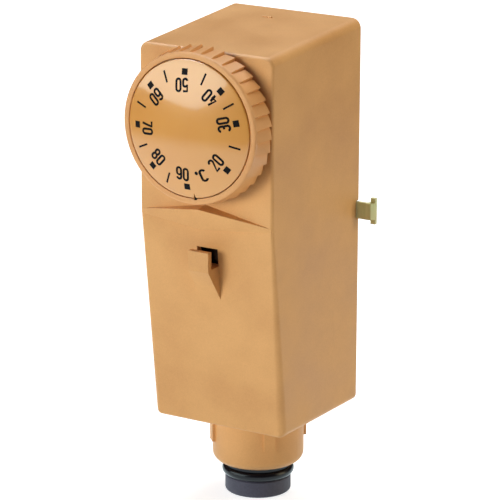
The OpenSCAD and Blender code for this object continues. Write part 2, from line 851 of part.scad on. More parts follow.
module bimetal_rivets() {
    color("goldenrod") for (z = bimetal_rivet_zs) {
        rod_y(bimetal_rivet_r, bimetal_y - 0.1, pad_y + bimetal_rivet_l, 0, z);
        rod_y(bimetal_rivet_r + 0.7, bimetal_y - 0.75, bimetal_y - 0.05, 0, z);
    }
}

module push_pin() {
    color("white") rod_y(pin_r, lever_y + 0.1, bimetal_y - 0.1, 0, push_pin_z);
}

module switch_body() {
    half = switch_w / 2;
    shelf_y = terminal_back_y + 0.05;
    color("dimgray") difference() {
        union() {
            block([-half, switch_front_y, switch_low_z], [half, switch_back_y, switch_high_z]);
            block([-half, shelf_y, terminal_low_z], [half, shelf_y + 2, switch_low_z + over]);
            for (x = [-terminal_pitch / 2, terminal_pitch / 2])
                block([x - 0.6, terminal_front_y, terminal_low_z],
                    [x + 0.6, shelf_y + over, switch_low_z + over]);
        }
        block([-cavity_half, switch_front_y - over, cavity_low_z],
            [cavity_half, cavity_back_y, cavity_high_z]);
        rod_y(button_r + run_gap, cavity_back_y - over, switch_back_y + over, 0, button_z);
        for (z = bolt_zs)
            rod_x(bolt_r + run_gap, -half - over, half + over, bolt_y, z);
    }
}

module switch_lid() {
    color("dimgray") block([-switch_w / 2, switch_front_y - 1.3, switch_low_z],
        [switch_w / 2, switch_front_y - 0.02, switch_high_z]);
}

module switch_button() {
    collar_y = cavity_back_y - 0.1;
    color("white") {
        rod_y(button_r, blade_y + 0.05, button_tip_y, 0, button_z);
        rod_y(button_r + 0.9, collar_y - 1, collar_y, 0, button_z);
    }
}

// Spring blade inside the switch, held at its top, with a contact at its tip
module snap_blade() {
    tip_z = cavity_low_z + 2;
    color("darkgoldenrod") {
        block([-2.2, blade_y - blade_t, tip_z - 1.4], [2.2, blade_y, cavity_high_z - 0.1]);
        rod_y(1.1, blade_y - blade_t - 0.6, blade_y + 0.6, 0, tip_z);
        block([-2.2, blade_y - blade_t - 3, cavity_high_z - 1.6],
            [2.2, blade_y - blade_t + 0.1, cavity_high_z - 0.1]);
    }
}

// One fixed contact on either side of the blade's tip
module fixed_contacts() {
    tip_z = cavity_low_z + 2;
    color("goldenrod") {
        block([-2, blade_y + 0.65, cavity_low_z + 0.02], [2, cavity_back_y - 0.1, tip_z + 1]);
        block([-2, switch_front_y + 0.2, cavity_low_z + 0.02],
            [2, blade_y - blade_t - 2.2, tip_z + 1]);
    }
}

module terminals() {
    color("goldenrod") for (x = terminal_xs) difference() {
        block([x - terminal_half, terminal_front_y, terminal_low_z],
            [x + terminal_half, terminal_back_y, switch_low_z - 0.05]);
        translate([x, terminal_back_y - 3, terminal_low_z - over])
            cylinder(r = wire_hole_r, h = wire_hole_l + over);
        rod_y(screw_shank_r + run_gap, terminal_front_y - over, terminal_back_y - 3,
            x, terminal_screw_z);
    }
}

// Screws that clamp the wires in the terminals
module terminal_screws() {
    head_r = 2.6;
    head_y = terminal_front_y - 0.4;
    color("silver") for (x = terminal_xs) difference() {
        union() {
            rod_y(head_r, head_y - 1.8, head_y, x, terminal_screw_z);
            rod_y(screw_shank_r, head_y - 0.1, terminal_back_y - 4.6, x, terminal_screw_z);
        }
        block([x - head_r - over, head_y - 1.8 - over, terminal_screw_z - 0.4],
            [x + head_r + over, head_y - 0.9, terminal_screw_z + 0.4]);
    }
}

// Two bolts across the bracket that carry the switch
module switch_bolts() {
    color("silver") for (z = bolt_zs) {
        rod_x(bolt_r, -cheek_out - 0.1, cheek_out + 1.8, bolt_y, z);
        rod_x(bolt_r + 0.9, -cheek_out - 1.3, -cheek_out - 0.05, bolt_y, z);
    }
}

module switch_bolt_nuts() {
    nut_flat = 4;
    color("silver") for (z = bolt_zs) difference() {
        translate([cheek_out + 0.05, bolt_y, z]) rotate([0, 90, 0])
            cylinder(d = nut_flat / cos(30), h = 1.5, $fn = 6);
        rod_x(bolt_r + run_gap, cheek_out - over, cheek_out + 3, bolt_y, z);
    }
}

module earth_screw() {
    head_y = earth_boss_y - earth_washer_t - 0.9;
    head_r = earth_r + 1;
    color("silver") difference() {
        union() {
            rod_y(head_r, head_y - 2, head_y, earth_x, earth_z);
            rod_y(earth_r, head_y - 0.1, back_y - 0.2, earth_x, earth_z);
        }
        block([earth_x - head_r - over, head_y - 2 - over, earth_z - 0.5],
            [earth_x + head_r + over, head_y - 1, earth_z + 0.5]);
    }
}

// Square washer that clamps the earth wire
module earth_washer() {
    back = earth_boss_y - 0.85;
    front = back - earth_washer_t;
    half = 3.8;
    color("khaki") difference() {
        block([earth_x - half, front, earth_z - half], [earth_x + half, back, earth_z + half]);
        rod_y(earth_r + run_gap, front - over, back + over, earth_x, earth_z);
    }
}

// Rocking catch: its nose holds the cover's lip, its tail is pushed through the slot
module cover_catch() {
    nose_y = lip_y - 1.5;
    color("dimgray") difference() {
        union() {
            rod_x(catch_hub_r, catch_left, catch_right, catch_y, catch_z);
            extrude_x(catch_left, catch_right) polygon([
                [catch_y, catch_z - 1.4],
                [nose_y - 0.9, catch_z - 0.7],
                [nose_y - 0.9, catch_z + 2.4],
                [nose_y, catch_z + 2.4],
                [nose_y, catch_z + 0.7],
                [catch_y, catch_z + 0.7]
            ]);
            block([catch_left, catch_y - 1.1, catch_z - 7.5], [catch_right, catch_y + 0.3, catch_z]);
        }
        rod_x(catch_pin_r + run_gap, -catch_half - over, catch_half + over, catch_y, catch_z);
    }
}

module catch_pin() {
    reach = ear_in + 1.4;
    color("gainsboro") {
        rod_x(catch_pin_r, -reach, reach, catch_y, catch_z);
        rod_x(catch_pin_r + 0.5, -reach - 0.6, -ear_in - 1.05, catch_y, catch_z);
    }
}

// Two turns of wire round the catch's pin, beside its hub
module catch_spring() {
    wire_r = 0.3;
    color("silver") for (i = [0, 1])
        translate([catch_half - 0.8 + 0.65 * i, catch_y, catch_z]) rotate([0, 90, 0])
            rotate_extrude() translate([catch_pin_r + 0.75, 0]) circle(wire_r);
}

// Gland nut: threaded sleeve in the neck, round collar, grip with a soft lower edge
module gland_nut() {
    sleeve_high_z = shoulder_z - seal_t - washer_t - 0.3;
    edge = 0.8;
    color("darkslategray") translate([0, neck_y, 0]) difference() {
        union() {
            translate([0, 0, collar_high_z - over])
                cylinder(r = neck_bore_r - 0.1, h = sleeve_high_z - collar_high_z + over);
            translate([0, 0, collar_high_z - collar_t + 0.5])
                cylinder(r = collar_r, h = collar_t - 1);
            translate([0, 0, collar_high_z - collar_t])
                cylinder(r1 = grip_r, r2 = collar_r, h = 0.5);
            translate([0, 0, collar_high_z - 0.5])
                cylinder(r1 = collar_r, r2 = collar_r - 0.5, h = 0.5);
            translate([0, 0, grip_low_z + edge]) cylinder(r = grip_r, h = grip_l - edge);
            translate([0, 0, grip_low_z]) cylinder(r1 = grip_r - edge, r2 = grip_r, h = edge);
        }
        translate([0, 0, grip_low_z - over]) cylinder(r = cable_hole_r, h = neck_l + grip_l + 10);
    }
}

module gland_washer() {
    color("silver") translate([0, neck_y, shoulder_z - seal_t - washer_t - 0.2]) difference() {
        cylinder(r = neck_bore_r - 0.2, h = washer_t);
        translate([0, 0, -over]) cylinder(r = cable_hole_r, h = washer_t + 2 * over);
    }
}

module gland_seal() {
    color("black") translate([0, neck_y, shoulder_z - seal_t - 0.1]) difference() {
        cylinder(r = neck_bore_r - 0.2, h = seal_t);
        translate([0, 0, -over]) cylinder(r = seal_hole_r, h = seal_t + 2 * over);
    }
}

cover();
base();
strap_plate();
contact_plate();
contact_rivets();
bracket();
bracket_rivets();
bush();
bush_nut();
spindle();
spindle_clip();
stop_washer();
knob();
dial_disc();
adjusting_nut();
range_spring();
lever();
lever_pin();
bimetal();
bimetal_rivets();
push_pin();
switch_body();
switch_lid();
switch_button();
snap_blade();
fixed_contacts();
terminals();
terminal_screws();
switch_bolts();
switch_bolt_nuts();
earth_screw();
earth_washer();
cover_catch();
catch_pin();
catch_spring();
gland_nut();
gland_washer();
gland_seal();
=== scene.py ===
import json
import math

import bmesh
import bpy
from mathutils import Matrix, Vector


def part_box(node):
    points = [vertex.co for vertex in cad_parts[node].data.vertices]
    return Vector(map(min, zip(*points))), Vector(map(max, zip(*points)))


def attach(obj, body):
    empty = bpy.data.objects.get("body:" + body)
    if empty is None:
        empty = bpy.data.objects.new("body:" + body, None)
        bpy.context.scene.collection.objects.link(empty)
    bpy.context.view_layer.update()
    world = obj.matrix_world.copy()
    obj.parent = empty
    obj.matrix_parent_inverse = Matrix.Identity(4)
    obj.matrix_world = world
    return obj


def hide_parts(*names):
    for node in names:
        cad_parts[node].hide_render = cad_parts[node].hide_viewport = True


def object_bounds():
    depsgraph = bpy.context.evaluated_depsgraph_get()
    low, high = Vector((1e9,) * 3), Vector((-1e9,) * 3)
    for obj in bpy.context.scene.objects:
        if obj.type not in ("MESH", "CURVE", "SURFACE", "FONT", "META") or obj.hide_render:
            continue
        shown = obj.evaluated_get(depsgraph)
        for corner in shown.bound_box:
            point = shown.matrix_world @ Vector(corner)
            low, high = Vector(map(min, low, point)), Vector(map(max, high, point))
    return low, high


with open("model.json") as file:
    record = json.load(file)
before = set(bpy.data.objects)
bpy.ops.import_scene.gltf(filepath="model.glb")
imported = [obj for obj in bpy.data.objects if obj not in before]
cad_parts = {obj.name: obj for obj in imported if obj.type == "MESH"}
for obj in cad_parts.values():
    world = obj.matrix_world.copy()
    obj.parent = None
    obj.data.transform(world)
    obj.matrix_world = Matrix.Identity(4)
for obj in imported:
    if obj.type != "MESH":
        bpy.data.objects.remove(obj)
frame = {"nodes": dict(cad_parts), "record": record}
cad_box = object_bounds()

# All sizes below are millimetres in the part's own frame: +Z up, the dial faces -Y,
# and the origin is the middle of the metal face that touches the pipe.
MM = 0.001


def corners(node):
    """The lowest and highest corner of a CAD node, in millimetres."""
    low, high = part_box(node)
    return low / MM, high / MM


COVER_LOW, COVER_HIGH = corners("cover")
KNOB_LOW, KNOB_HIGH = corners("knob")
DISC_LOW, DISC_HIGH = corners("dial_disc")
NUT_LOW, NUT_HIGH = corners("gland_nut")
BASE_LOW = corners("base")[0]
PLATE_LOW, PLATE_HIGH = corners("strap_plate")

# The case: narrower in front by its draught, and a little lower than the CAD's foot
FIT_GAP = 0.3
DRAUGHT = 0.3
CASE_DEPTH = 42.25
FOOT_DROP = 0.4
HALF = COVER_HIGH.x
FRONT_HALF = HALF - DRAUGHT
BACK_Y = COVER_HIGH.y
FACE_Y = BACK_Y - CASE_DEPTH
BOTTOM_Z = COVER_LOW.z
TOP_Z = COVER_HIGH.z
FOOT_Z = BOTTOM_Z - FOOT_DROP
TOP_FALL = 2.4
CHIN_Z = BOTTOM_Z + 55.2
CHIN_BACK = 6.05
WALL = 1.8
CORNER_R = 2.5
FOOT_CORNER_R = 1.8
FRONT_EDGE_R = 0.8
FOOT_EDGE_GROWTH = 2.4

# The visor: height and thickness of its ends, and how far its middle juts out
VISOR_Z = BOTTOM_Z + 55.6
VISOR_T = 1.2
VISOR_REACH = 3.9
VISOR_UNDER_REACH = 2.4

# The release slot and its hood
SLOT_HALF = 3.0
SLOT_LOW_Z = BOTTOM_Z + 43.4
SLOT_HIGH_Z = BOTTOM_Z + 47.9
HOOD_Y = FACE_Y - 3.55
HOOD_T = 1.6
HOOD_TURN_Z = BOTTOM_Z + 42.8
HOOD_FOOT_Z = BOTTOM_Z + 34.5

# The dial
DIAL_Z = (KNOB_LOW.z + KNOB_HIGH.z) / 2
KNOB_FRONT_Y = KNOB_LOW.y
KNOB_BACK_Y = KNOB_HIGH.y
RIM_R = 18.95
RIM_W = 1.5
RIM_DEPTH = 0.75
HUB_R = 5.6
BORE_R = 3.05
NOTCH_TURN = 174
NOTCH_TIP_R = RIM_R - 3.0
NOTCH_MOUTH_R = RIM_R - 1.2
NOTCH_HALF = 0.5
RIBS = 38
RIB_STEP = 0.6
RIB_GROOVE = 0.3
RIB_CORNERS = (0.0, 1.1, 5.0, 8.8)
DISC_R = DISC_HIGH.x - 0.2
DISC_EDGE_Y = KNOB_FRONT_Y - 0.1
DOME_Y = DISC_LOW.y + 0.06

# The neck and the gland
NECK_Y = BACK_Y - 16.7
NECK_R = 11.8
NUT_TOP_Z = NUT_HIGH.z
NUT_LOW_Z = NUT_LOW.z
COLLAR_R = NUT_HIGH.x

# The plates at the back, and the rivets that hold them
SHEET_Y = BACK_Y - 1
SHEET_HALF = 16.8
ARM_HALF = 4.3 / 2
ARM_START = 16
ARM_END = HALF + 3
ARM_STEP = 1.1
EAR_HALF = 6.8 / 2
PAD_HALF = 6
PAD_LOW_Z = -15
PAD_HIGH_Z = -1
RIVET_R = 1.2
RIVET_HEAD_R = 2.1
SMALL_HEAD_R = 1.6
RIVET_HEAD_T = 0.6
HOLE_GAP = 0.05
BIMETAL_RIVET_R = 1
BIMETAL_RIVET_ZS = (-11, -5)
EARTH_R = 2
EARTH_PLACE = (-11, -30)
CONTACT_RIVETS = [(x, z) for x in (-8.4, 8.4) for z in (-14, 14)]
RIVETS_LOW, RIVETS_HIGH = corners("bracket_rivets")
BRACKET_RIVETS = [
    (x, z)
    for x in (RIVETS_LOW.x + RIVET_HEAD_R, RIVETS_HIGH.x - RIVET_HEAD_R)
    for z in (RIVETS_LOW.z + RIVET_HEAD_R, RIVETS_HIGH.z - RIVET_HEAD_R)
]

# How strongly the floor glows: to the eye, as a bounce and in gloss
FLOOR_WHITE = 0.8
FLOOR_BOUNCE = 0.1
FLOOR_GLOSS = 1.7


def face_y(z):
    """Depth of the case's front at a height: upright above the chin, sloping below."""
    return FACE_Y + CHIN_BACK * max(0.0, CHIN_Z - z) / (CHIN_Z - FOOT_Z)


def dome_y(r):
    """Depth of the printed disc's dome at a distance from its middle."""
    return DISC_EDGE_Y + (DOME_Y - DISC_EDGE_Y) * (1 - (r / DISC_R) ** 2)


# ---------------------------------------------------------------- workshop tools


def take(piece):
    """Makes a piece the only one selected, in object mode."""
    if bpy.context.object and bpy.context.object.mode != "OBJECT":
        bpy.ops.object.mode_set(mode="OBJECT")
    bpy.ops.object.select_all(action="DESELECT")
    if piece is not None:
        piece.select_set(True)
        bpy.context.view_layer.objects.active = piece


def settle(piece):
    """Puts a piece's place into its mesh, so that its object sits at the origin."""
    take(piece)
    bpy.ops.object.transform_apply(location=True, rotation=True, scale=True)
    return piece


def block(name, low, high):
    """A block between its lowest and highest corner."""
    take(None)
    low, high = Vector(low) * MM, Vector(high) * MM
    bpy.ops.mesh.primitive_cube_add(size=1, location=(low + high) / 2)
    piece = bpy.context.object
    piece.name = name
    piece.scale = high - low
    return settle(piece)


def rod(name, radius, start, end, sides=48):
    """A round bar from one point to another."""
    take(None)
    start, end = Vector(start), Vector(end)
    bpy.ops.mesh.primitive_cylinder_add(
        vertices=sides, radius=radius * MM, depth=(end - start).length * MM,
        location=(start + end) / 2 * MM,
        rotation=(end - start).to_track_quat("Z", "Y").to_euler(),
    )
    piece = bpy.context.object
    piece.name = name
    return settle(piece)


def pick(piece, kind, test):
    """Opens a piece in edit mode and selects what passes the test, by its place."""
    take(piece)
    bpy.ops.object.mode_set(mode="EDIT")
    bpy.ops.mesh.select_mode(type=kind)
    bpy.ops.mesh.select_all(action="DESELECT")
    shape = bmesh.from_edit_mesh(piece.data)
    if kind == "VERT":
        for vert in shape.verts:
            vert.select_set(bool(test(vert.co / MM)))
    elif kind == "EDGE":
        for edge in shape.edges:
            edge.select_set(bool(test(edge)))
    else:
        for face in shape.faces:
            face.select_set(bool(test(face.calc_center_median() / MM, face.normal)))
    shape.select_flush_mode()
    bmesh.update_edit_mesh(piece.data)


def everything(_place):
    """The test that every place passes."""
    return True


def shift(move):
    """Moves what is selected."""
    bpy.ops.transform.translate(value=Vector(move) * MM)


def grow(factors, centre):
    """Scales what is selected about a centre."""
    bpy.ops.transform.resize(value=factors, center_override=Vector(centre) * MM)


def push_out(move):
    """Extrudes what is selected and carries the new end along."""
    bpy.ops.mesh.extrude_region_move(
        TRANSFORM_OT_translate={"value": Vector(move) * MM}
    )


def round_off(width, steps):
    """Bevels the selected edges."""
    bpy.ops.mesh.bevel(
        offset=width * MM, segments=steps, profile=0.5, affect="EDGES", clamp_overlap=True
    )


def edge_ends(edge):
    """Both ends of an edge."""
    return edge.verts[0].co / MM, edge.verts[1].co / MM


def is_sharp(edge, degrees=35):
    """True for an edge between two faces that meet at more than this angle."""
    if len(edge.link_faces) != 2:
        return False
    return edge.calc_face_angle(0) > math.radians(degrees)


def round_sharp_edges(piece, width, steps=2, degrees=35, where=None):
    """Bevels every sharp edge, or those whose middle passes where."""

    def chosen(edge):
        a, b = edge_ends(edge)
        return is_sharp(edge, degrees) and (where is None or where((a + b) / 2))

    pick(piece, "EDGE", chosen)
    round_off(width, steps)
    bpy.ops.object.mode_set(mode="OBJECT")
    return piece


def combine(piece, tool, how="DIFFERENCE"):
    """Cuts a tool out of a piece, or adds it, and puts the tool away."""
    take(piece)
    change = piece.modifiers.new(how.lower(), "BOOLEAN")
    change.operation = how
    change.object = tool
    change.solver = "EXACT"
    bpy.ops.object.modifier_apply(modifier=change.name)
    bpy.data.objects.remove(tool, do_unlink=True)
    return piece


def mend(piece):
    """Merges doubles and turns every face outward."""
    pick(piece, "VERT", everything)
    bpy.ops.mesh.remove_doubles(threshold=0.002 * MM)
    bpy.ops.mesh.normals_make_consistent(inside=False)
    bpy.ops.object.mode_set(mode="OBJECT")
    return piece


def wire(name, points):
    """An open line of edges through the points."""
    take(None)
    bpy.ops.mesh.primitive_plane_add(size=MM)
    piece = bpy.context.object
    piece.name = name
    bpy.ops.object.mode_set(mode="EDIT")
    bpy.ops.mesh.merge(type="CENTER")
    shift(points[0])
    for here, there in zip(points, points[1:]):
        push_out(Vector(there) - Vector(here))
    return piece


def thicken(line, radius, resolution):
    """Gives a line of edges a round section."""
    take(line)
    bpy.ops.object.convert(target="CURVE")
    line.data.bevel_depth = radius * MM
    line.data.bevel_resolution = resolution
    line.data.use_fill_caps = True
    bpy.ops.object.convert(target="MESH")
    return line


def lathe(name, outline, centre, axis, steps=96):
    """A turned piece: the outline of (out, along) points spun about the axis."""
    centre, axis = Vector(centre), Vector(axis)
    out = Vector((1, 0, 0))
    piece = wire(name, [centre + out * r + axis * along for r, along in outline])
    bpy.ops.mesh.select_all(action="SELECT")
    bpy.ops.mesh.spin(
        steps=steps, angle=math.tau, center=centre * MM, axis=axis, use_auto_merge=True
    )
    return mend(piece)


def arc(centre, radius, start, end, steps):
    """Points on an arc, in degrees, both ends included."""
    angles = [math.radians(start + (end - start) * i / steps) for i in range(steps + 1)]
    return [
        (centre[0] + radius * math.cos(a), centre[1] + radius * math.sin(a)) for a in angles
    ]


def copy_of(piece, name):
    """A copy with its own mesh."""
    twin = piece.copy()
    twin.data = piece.data.copy()
    twin.name = name
    bpy.context.collection.objects.link(twin)
    return twin


def join(name, pieces):
    """Several meshes made one piece."""
    take(pieces[0])
    for piece in pieces[1:]:
        piece.select_set(True)
    bpy.ops.object.join()
    pieces[0].name = name
    return settle(pieces[0])


def finish(piece, body, slot_name, replaced=(), smooth=40, material=None):
    """Smooth shading, the material, the body it rides on and the nodes it stands for."""
    take(piece)
    bpy.ops.object.shade_smooth_by_angle(angle=math.radians(smooth))
    flat = piece.modifiers.new("flat faces", "WEIGHTED_NORMAL")
    flat.keep_sharp = True
    bpy.ops.object.modifier_apply(modifier=flat.name)
    piece.data.materials.clear()
    piece.data.materials.append(material or FINISHES[slot_name])
    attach(piece, body)
    if replaced:
        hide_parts(*replaced)
    return piece


# ---------------------------------------------------------------- finishes


def colour(red, green, blue):
    """A display colour, 0 to 255, as linear light."""

    def linear(value):
        value /= 255
        return value / 12.92 if value <= 0.04045 else ((value + 0.055) / 1.055) ** 2.4

    return (linear(red), linear(green), linear(blue), 1.0)


def new_group(name, inputs, outputs):
    """A shader node group whose sockets are all numbers; returns its tree and ends."""
    number = "NodeSocketFloat"
    tree = bpy.data.node_groups.new(name, "ShaderNodeTree")
    for label, value in inputs.items():
        socket = tree.interface.new_socket(label, in_out="INPUT", socket_type=number)
        socket.default_value = value
    for label in outputs:
        tree.interface.new_socket(label, in_out="OUTPUT", socket_type=number)
    return tree, tree.nodes.new("NodeGroupInput"), tree.nodes.new("NodeGroupOutput")


def noise(tree, place, scale, detail=3.0, roughness=0.55):
    """A noise texture at a place; scale is a socket."""
    node = tree.nodes.new("ShaderNodeTexNoise")
    node.inputs["Detail"].default_value = detail
    node.inputs["Roughness"].default_value = roughness
    tree.links.new(place, node.inputs["Vector"])
    tree.links.new(scale, node.inputs["Scale"])
    return node


def spread(tree, value, low, high):
    """Stretches a value between low and high to 0 to 1."""
    node = tree.nodes.new("ShaderNodeMapRange")
    node.inputs["From Min"].default_value = low
    node.inputs["From Max"].default_value = high
    tree.links.new(value, node.inputs["Value"])
    return node.outputs["Result"]


def make_moulded_grain():
    """Fine moulding grain and the slow drift of a moulded colour."""
    tree, entry, leave = new_group(
        "moulded_grain",
        {"Grain per metre": 2600.0, "Drift per metre": 60.0},
        ("Grain", "Speckle", "Drift"),
    )
    place = tree.nodes.new("ShaderNodeTexCoord").outputs["Object"]
    grain = noise(tree, place, entry.outputs["Grain per metre"], 2.0, 0.6)
    drift = noise(tree, place, entry.outputs["Drift per metre"], 4.0, 0.5)
    tree.links.new(grain.outputs["Fac"], leave.inputs["Grain"])
    tree.links.new(spread(tree, grain.outputs["Fac"], 0.3, 0.7), leave.inputs["Speckle"])
    tree.links.new(spread(tree, drift.outputs["Fac"], 0.35, 0.65), leave.inputs["Drift"])
    return tree


def make_drawn_metal():
    """Long fine marks of drawn or rolled metal, and soft stains."""
    tree, entry, leave = new_group(
        "drawn_metal",
        {"Marks per metre": 1500.0, "Stains per metre": 220.0},
        ("Marks", "Stains"),
    )
    place = tree.nodes.new("ShaderNodeTexCoord").outputs["Object"]
    along = tree.nodes.new("ShaderNodeMapping")
    along.inputs["Scale"].default_value = (1.0, 1.0, 0.06)
    tree.links.new(place, along.inputs["Vector"])
    marks = noise(tree, along.outputs["Vector"], entry.outputs["Marks per metre"], 3.0)
    stains = noise(tree, place, entry.outputs["Stains per metre"], 4.0)
    tree.links.new(spread(tree, marks.outputs["Fac"], 0.3, 0.7), leave.inputs["Marks"])
    tree.links.new(spread(tree, stains.outputs["Fac"], 0.35, 0.65), leave.inputs["Stains"])
    return tree


MOULDED_GRAIN = make_moulded_grain()
DRAWN_METAL = make_drawn_metal()


def start_finish(name):
    """An empty material; returns it with its tree and its Principled shader."""
    material = bpy.data.materials.new(name)
    material.use_nodes = True
    tree = material.node_tree
    return material, tree, tree.nodes["Principled BSDF"]


def add_group(tree, group, **values):
    """A group's node, with the values of its inputs; their blanks are underscores."""
    node = tree.nodes.new("ShaderNodeGroup")
    node.node_tree = group
    for label, value in values.items():
        node.inputs[label.replace("_", " ")].default_value = value
    return node


def blend_colours(tree, mask, first, second):
    """A colour that goes from first to second with the mask."""
    node = tree.nodes.new("ShaderNodeMix")
    node.data_type = "RGBA"
    tree.links.new(mask, node.inputs["Factor"])
    for socket, value in ((node.inputs["A"], first), (node.inputs["B"], second)):
        if hasattr(value, "is_linked"):
            tree.links.new(value, socket)
        else:
            socket.default_value = value
    return node.outputs["Result"]


def blend_values(tree, mask, low, high):
    """A value that goes from low to high with the mask."""
    node = tree.nodes.new("ShaderNodeMapRange")
    node.inputs["To Min"].default_value = low
    node.inputs["To Max"].default_value = high
    tree.links.new(mask, node.inputs["Value"])
    return node.outputs["Result"]


def raise_surface(tree, shader, height, depth, strength):
    """Feeds a height to the shader's normal; depth is in millimetres."""
    bump = tree.nodes.new("ShaderNodeBump")
    bump.inputs["Strength"].default_value = strength
    bump.inputs["Distance"].default_value = depth * MM
    tree.links.new(height, bump.inputs["Height"])
    tree.links.new(bump.outputs["Normal"], shader.inputs["Normal"])


def moulded_plastic(
    name, light, dark, rough, grain=2600.0, depth=0.05, strength=0.5, specular=0.4
):
    """A moulded plastic: grain in its surface, a slight drift in its colour."""
    material, tree, shader = start_finish(name)
    skin = add_group(tree, MOULDED_GRAIN, Grain_per_metre=grain)
    soft = blend_colours(tree, skin.outputs["Drift"], dark, light)
    paler = tuple(min(1.0, value * 1.1) for value in light[:3]) + (1.0,)
    speckled = tree.nodes.new("ShaderNodeMix")
    speckled.data_type = "RGBA"
    speckled.inputs["Factor"].default_value = 0.25
    grainy = blend_colours(tree, skin.outputs["Speckle"], dark, paler)
    tree.links.new(soft, speckled.inputs["A"])
    tree.links.new(grainy, speckled.inputs["B"])
    tree.links.new(speckled.outputs["Result"], shader.inputs["Base Color"])
    tree.links.new(
        blend_values(tree, skin.outputs["Drift"], rough - 0.05, rough + 0.05),
        shader.inputs["Roughness"],
    )
    shader.inputs["Specular IOR Level"].default_value = specular
    raise_surface(tree, shader, skin.outputs["Grain"], depth, strength)
    return material


def metal(name, light, dark, rough, plating=None, metallic=1.0):
    """A drawn, rolled or plated metal; plating is a second colour in soft stains."""
    material, tree, shader = start_finish(name)
    skin = add_group(tree, DRAWN_METAL)
    base = blend_colours(tree, skin.outputs["Marks"], dark, light)
    if plating:
        base = blend_colours(tree, skin.outputs["Stains"], base, plating)
    tree.links.new(base, shader.inputs["Base Color"])
    tree.links.new(
        blend_values(tree, skin.outputs["Marks"], rough - 0.06, rough + 0.08),
        shader.inputs["Roughness"],
    )
    shader.inputs["Metallic"].default_value = metallic
    raise_surface(tree, shader, skin.outputs["Marks"], 0.01, 0.4)
    return material


def glossy_disc(name):
    """The disc under the print: smooth, with a clear glossy skin."""
    material, tree, shader = start_finish(name)
    skin = add_group(tree, MOULDED_GRAIN, Grain_per_metre=1200.0)
    base = blend_colours(
        tree, skin.outputs["Drift"], colour(216, 149, 62), colour(220, 155, 68)
    )
    tree.links.new(base, shader.inputs["Base Color"])
    tree.links.new(
        blend_values(tree, skin.outputs["Speckle"], 0.3, 0.36), shader.inputs["Roughness"]
    )
    shader.inputs["Coat Weight"].default_value = 1.0
    shader.inputs["Coat Roughness"].default_value = 0.08
    shader.inputs["Coat IOR"].default_value = 1.5
    return material


def ink(name):
    """Black printing ink, a little uneven in its gloss."""
    material, tree, shader = start_finish(name)
    skin = add_group(tree, MOULDED_GRAIN, Grain_per_metre=5000.0)
    base = blend_colours(tree, skin.outputs["Speckle"], colour(9, 8, 8), colour(22, 18, 17))
    tree.links.new(base, shader.inputs["Base Color"])
    tree.links.new(
        blend_values(tree, skin.outputs["Speckle"], 0.6, 0.75), shader.inputs["Roughness"]
    )
    shader.inputs["Specular IOR Level"].default_value = 0.1
    return material


CASE_LIGHT = colour(225, 172, 108)
CASE_DARK = colour(209, 154, 92)

FINISHES = {
    "orange_case": moulded_plastic("orange_case", CASE_LIGHT, CASE_DARK, 0.5),
    "orange_knob": moulded_plastic(
        "orange_knob", colour(226, 169, 108), colour(217, 157, 96), 0.42, 4200.0, 0.03, 0.3
    ),
    "dial_print": glossy_disc("dial_print"),
    "gland_black": moulded_plastic(
        "gland_black", colour(74, 71, 84), colour(48, 46, 57), 0.6, 2200.0, 0.08, 0.6
    ),
    "seal_rubber": moulded_plastic(
        "seal_rubber", colour(40, 40, 42), colour(28, 28, 30), 0.8, 1500.0, 0.05, 0.4
    ),
    "yellow_zinc": metal(
        "yellow_zinc", colour(222, 224, 168), colour(202, 207, 146), 0.46,
        colour(216, 209, 152), 0.15
    ),
    "bright_steel": metal("bright_steel", colour(205, 207, 210), colour(178, 180, 184), 0.28),
    "spring_steel": metal("spring_steel", colour(165, 166, 170), colour(130, 131, 136), 0.32),
    "brass": metal("brass", colour(222, 190, 118), colour(198, 160, 86), 0.3),
    "bimetal": metal(
        "bimetal", colour(176, 170, 158), colour(150, 143, 130), 0.35, colour(160, 146, 120)
    ),
    "switch_brown": moulded_plastic(
        "switch_brown", colour(74, 54, 42), colour(56, 40, 31), 0.5, 1800.0, 0.04, 0.35
    ),
    "white_nylon": moulded_plastic(
        "white_nylon", colour(234, 231, 220), colour(220, 215, 202), 0.45, 2400.0, 0.03, 0.3
    ),
}
INK = ink("black_ink")
GLOSSY_BLACK = moulded_plastic(
    "glossy_black", colour(20, 18, 23), colour(12, 10, 14), 0.24, 2200.0, 0.02, 0.2, 0.25
)


# ---------------------------------------------------------------- the case


def case_form(name, inset, back_y):
    """The case block: top falling forward, lower front sloping back, sides drawn in."""
    reach = 0.1
    half = HALF - inset
    form = block(
        name, (-half, FACE_Y + inset, FOOT_Z + inset), (half, back_y, TOP_Z - inset)
    )
    pick(form, "VERT", everything)
    bpy.ops.mesh.bisect(plane_co=(0, 0, CHIN_Z * MM), plane_no=(0, 0, 1))
    front_y = FACE_Y + inset + reach
    pick(form, "VERT", lambda at: at.y < front_y and at.z > TOP_Z - inset - reach)
    shift((0, 0, -TOP_FALL))
    pick(form, "VERT", lambda at: at.y < front_y)
    grow(((FRONT_HALF - inset) / half, 1, 1), (0, 0, 0))
    pick(form, "VERT", lambda at: at.y < front_y and at.z < FOOT_Z + inset + reach)
    shift((0, CHIN_BACK, 0))
    bpy.ops.object.mode_set(mode="OBJECT")
    return form


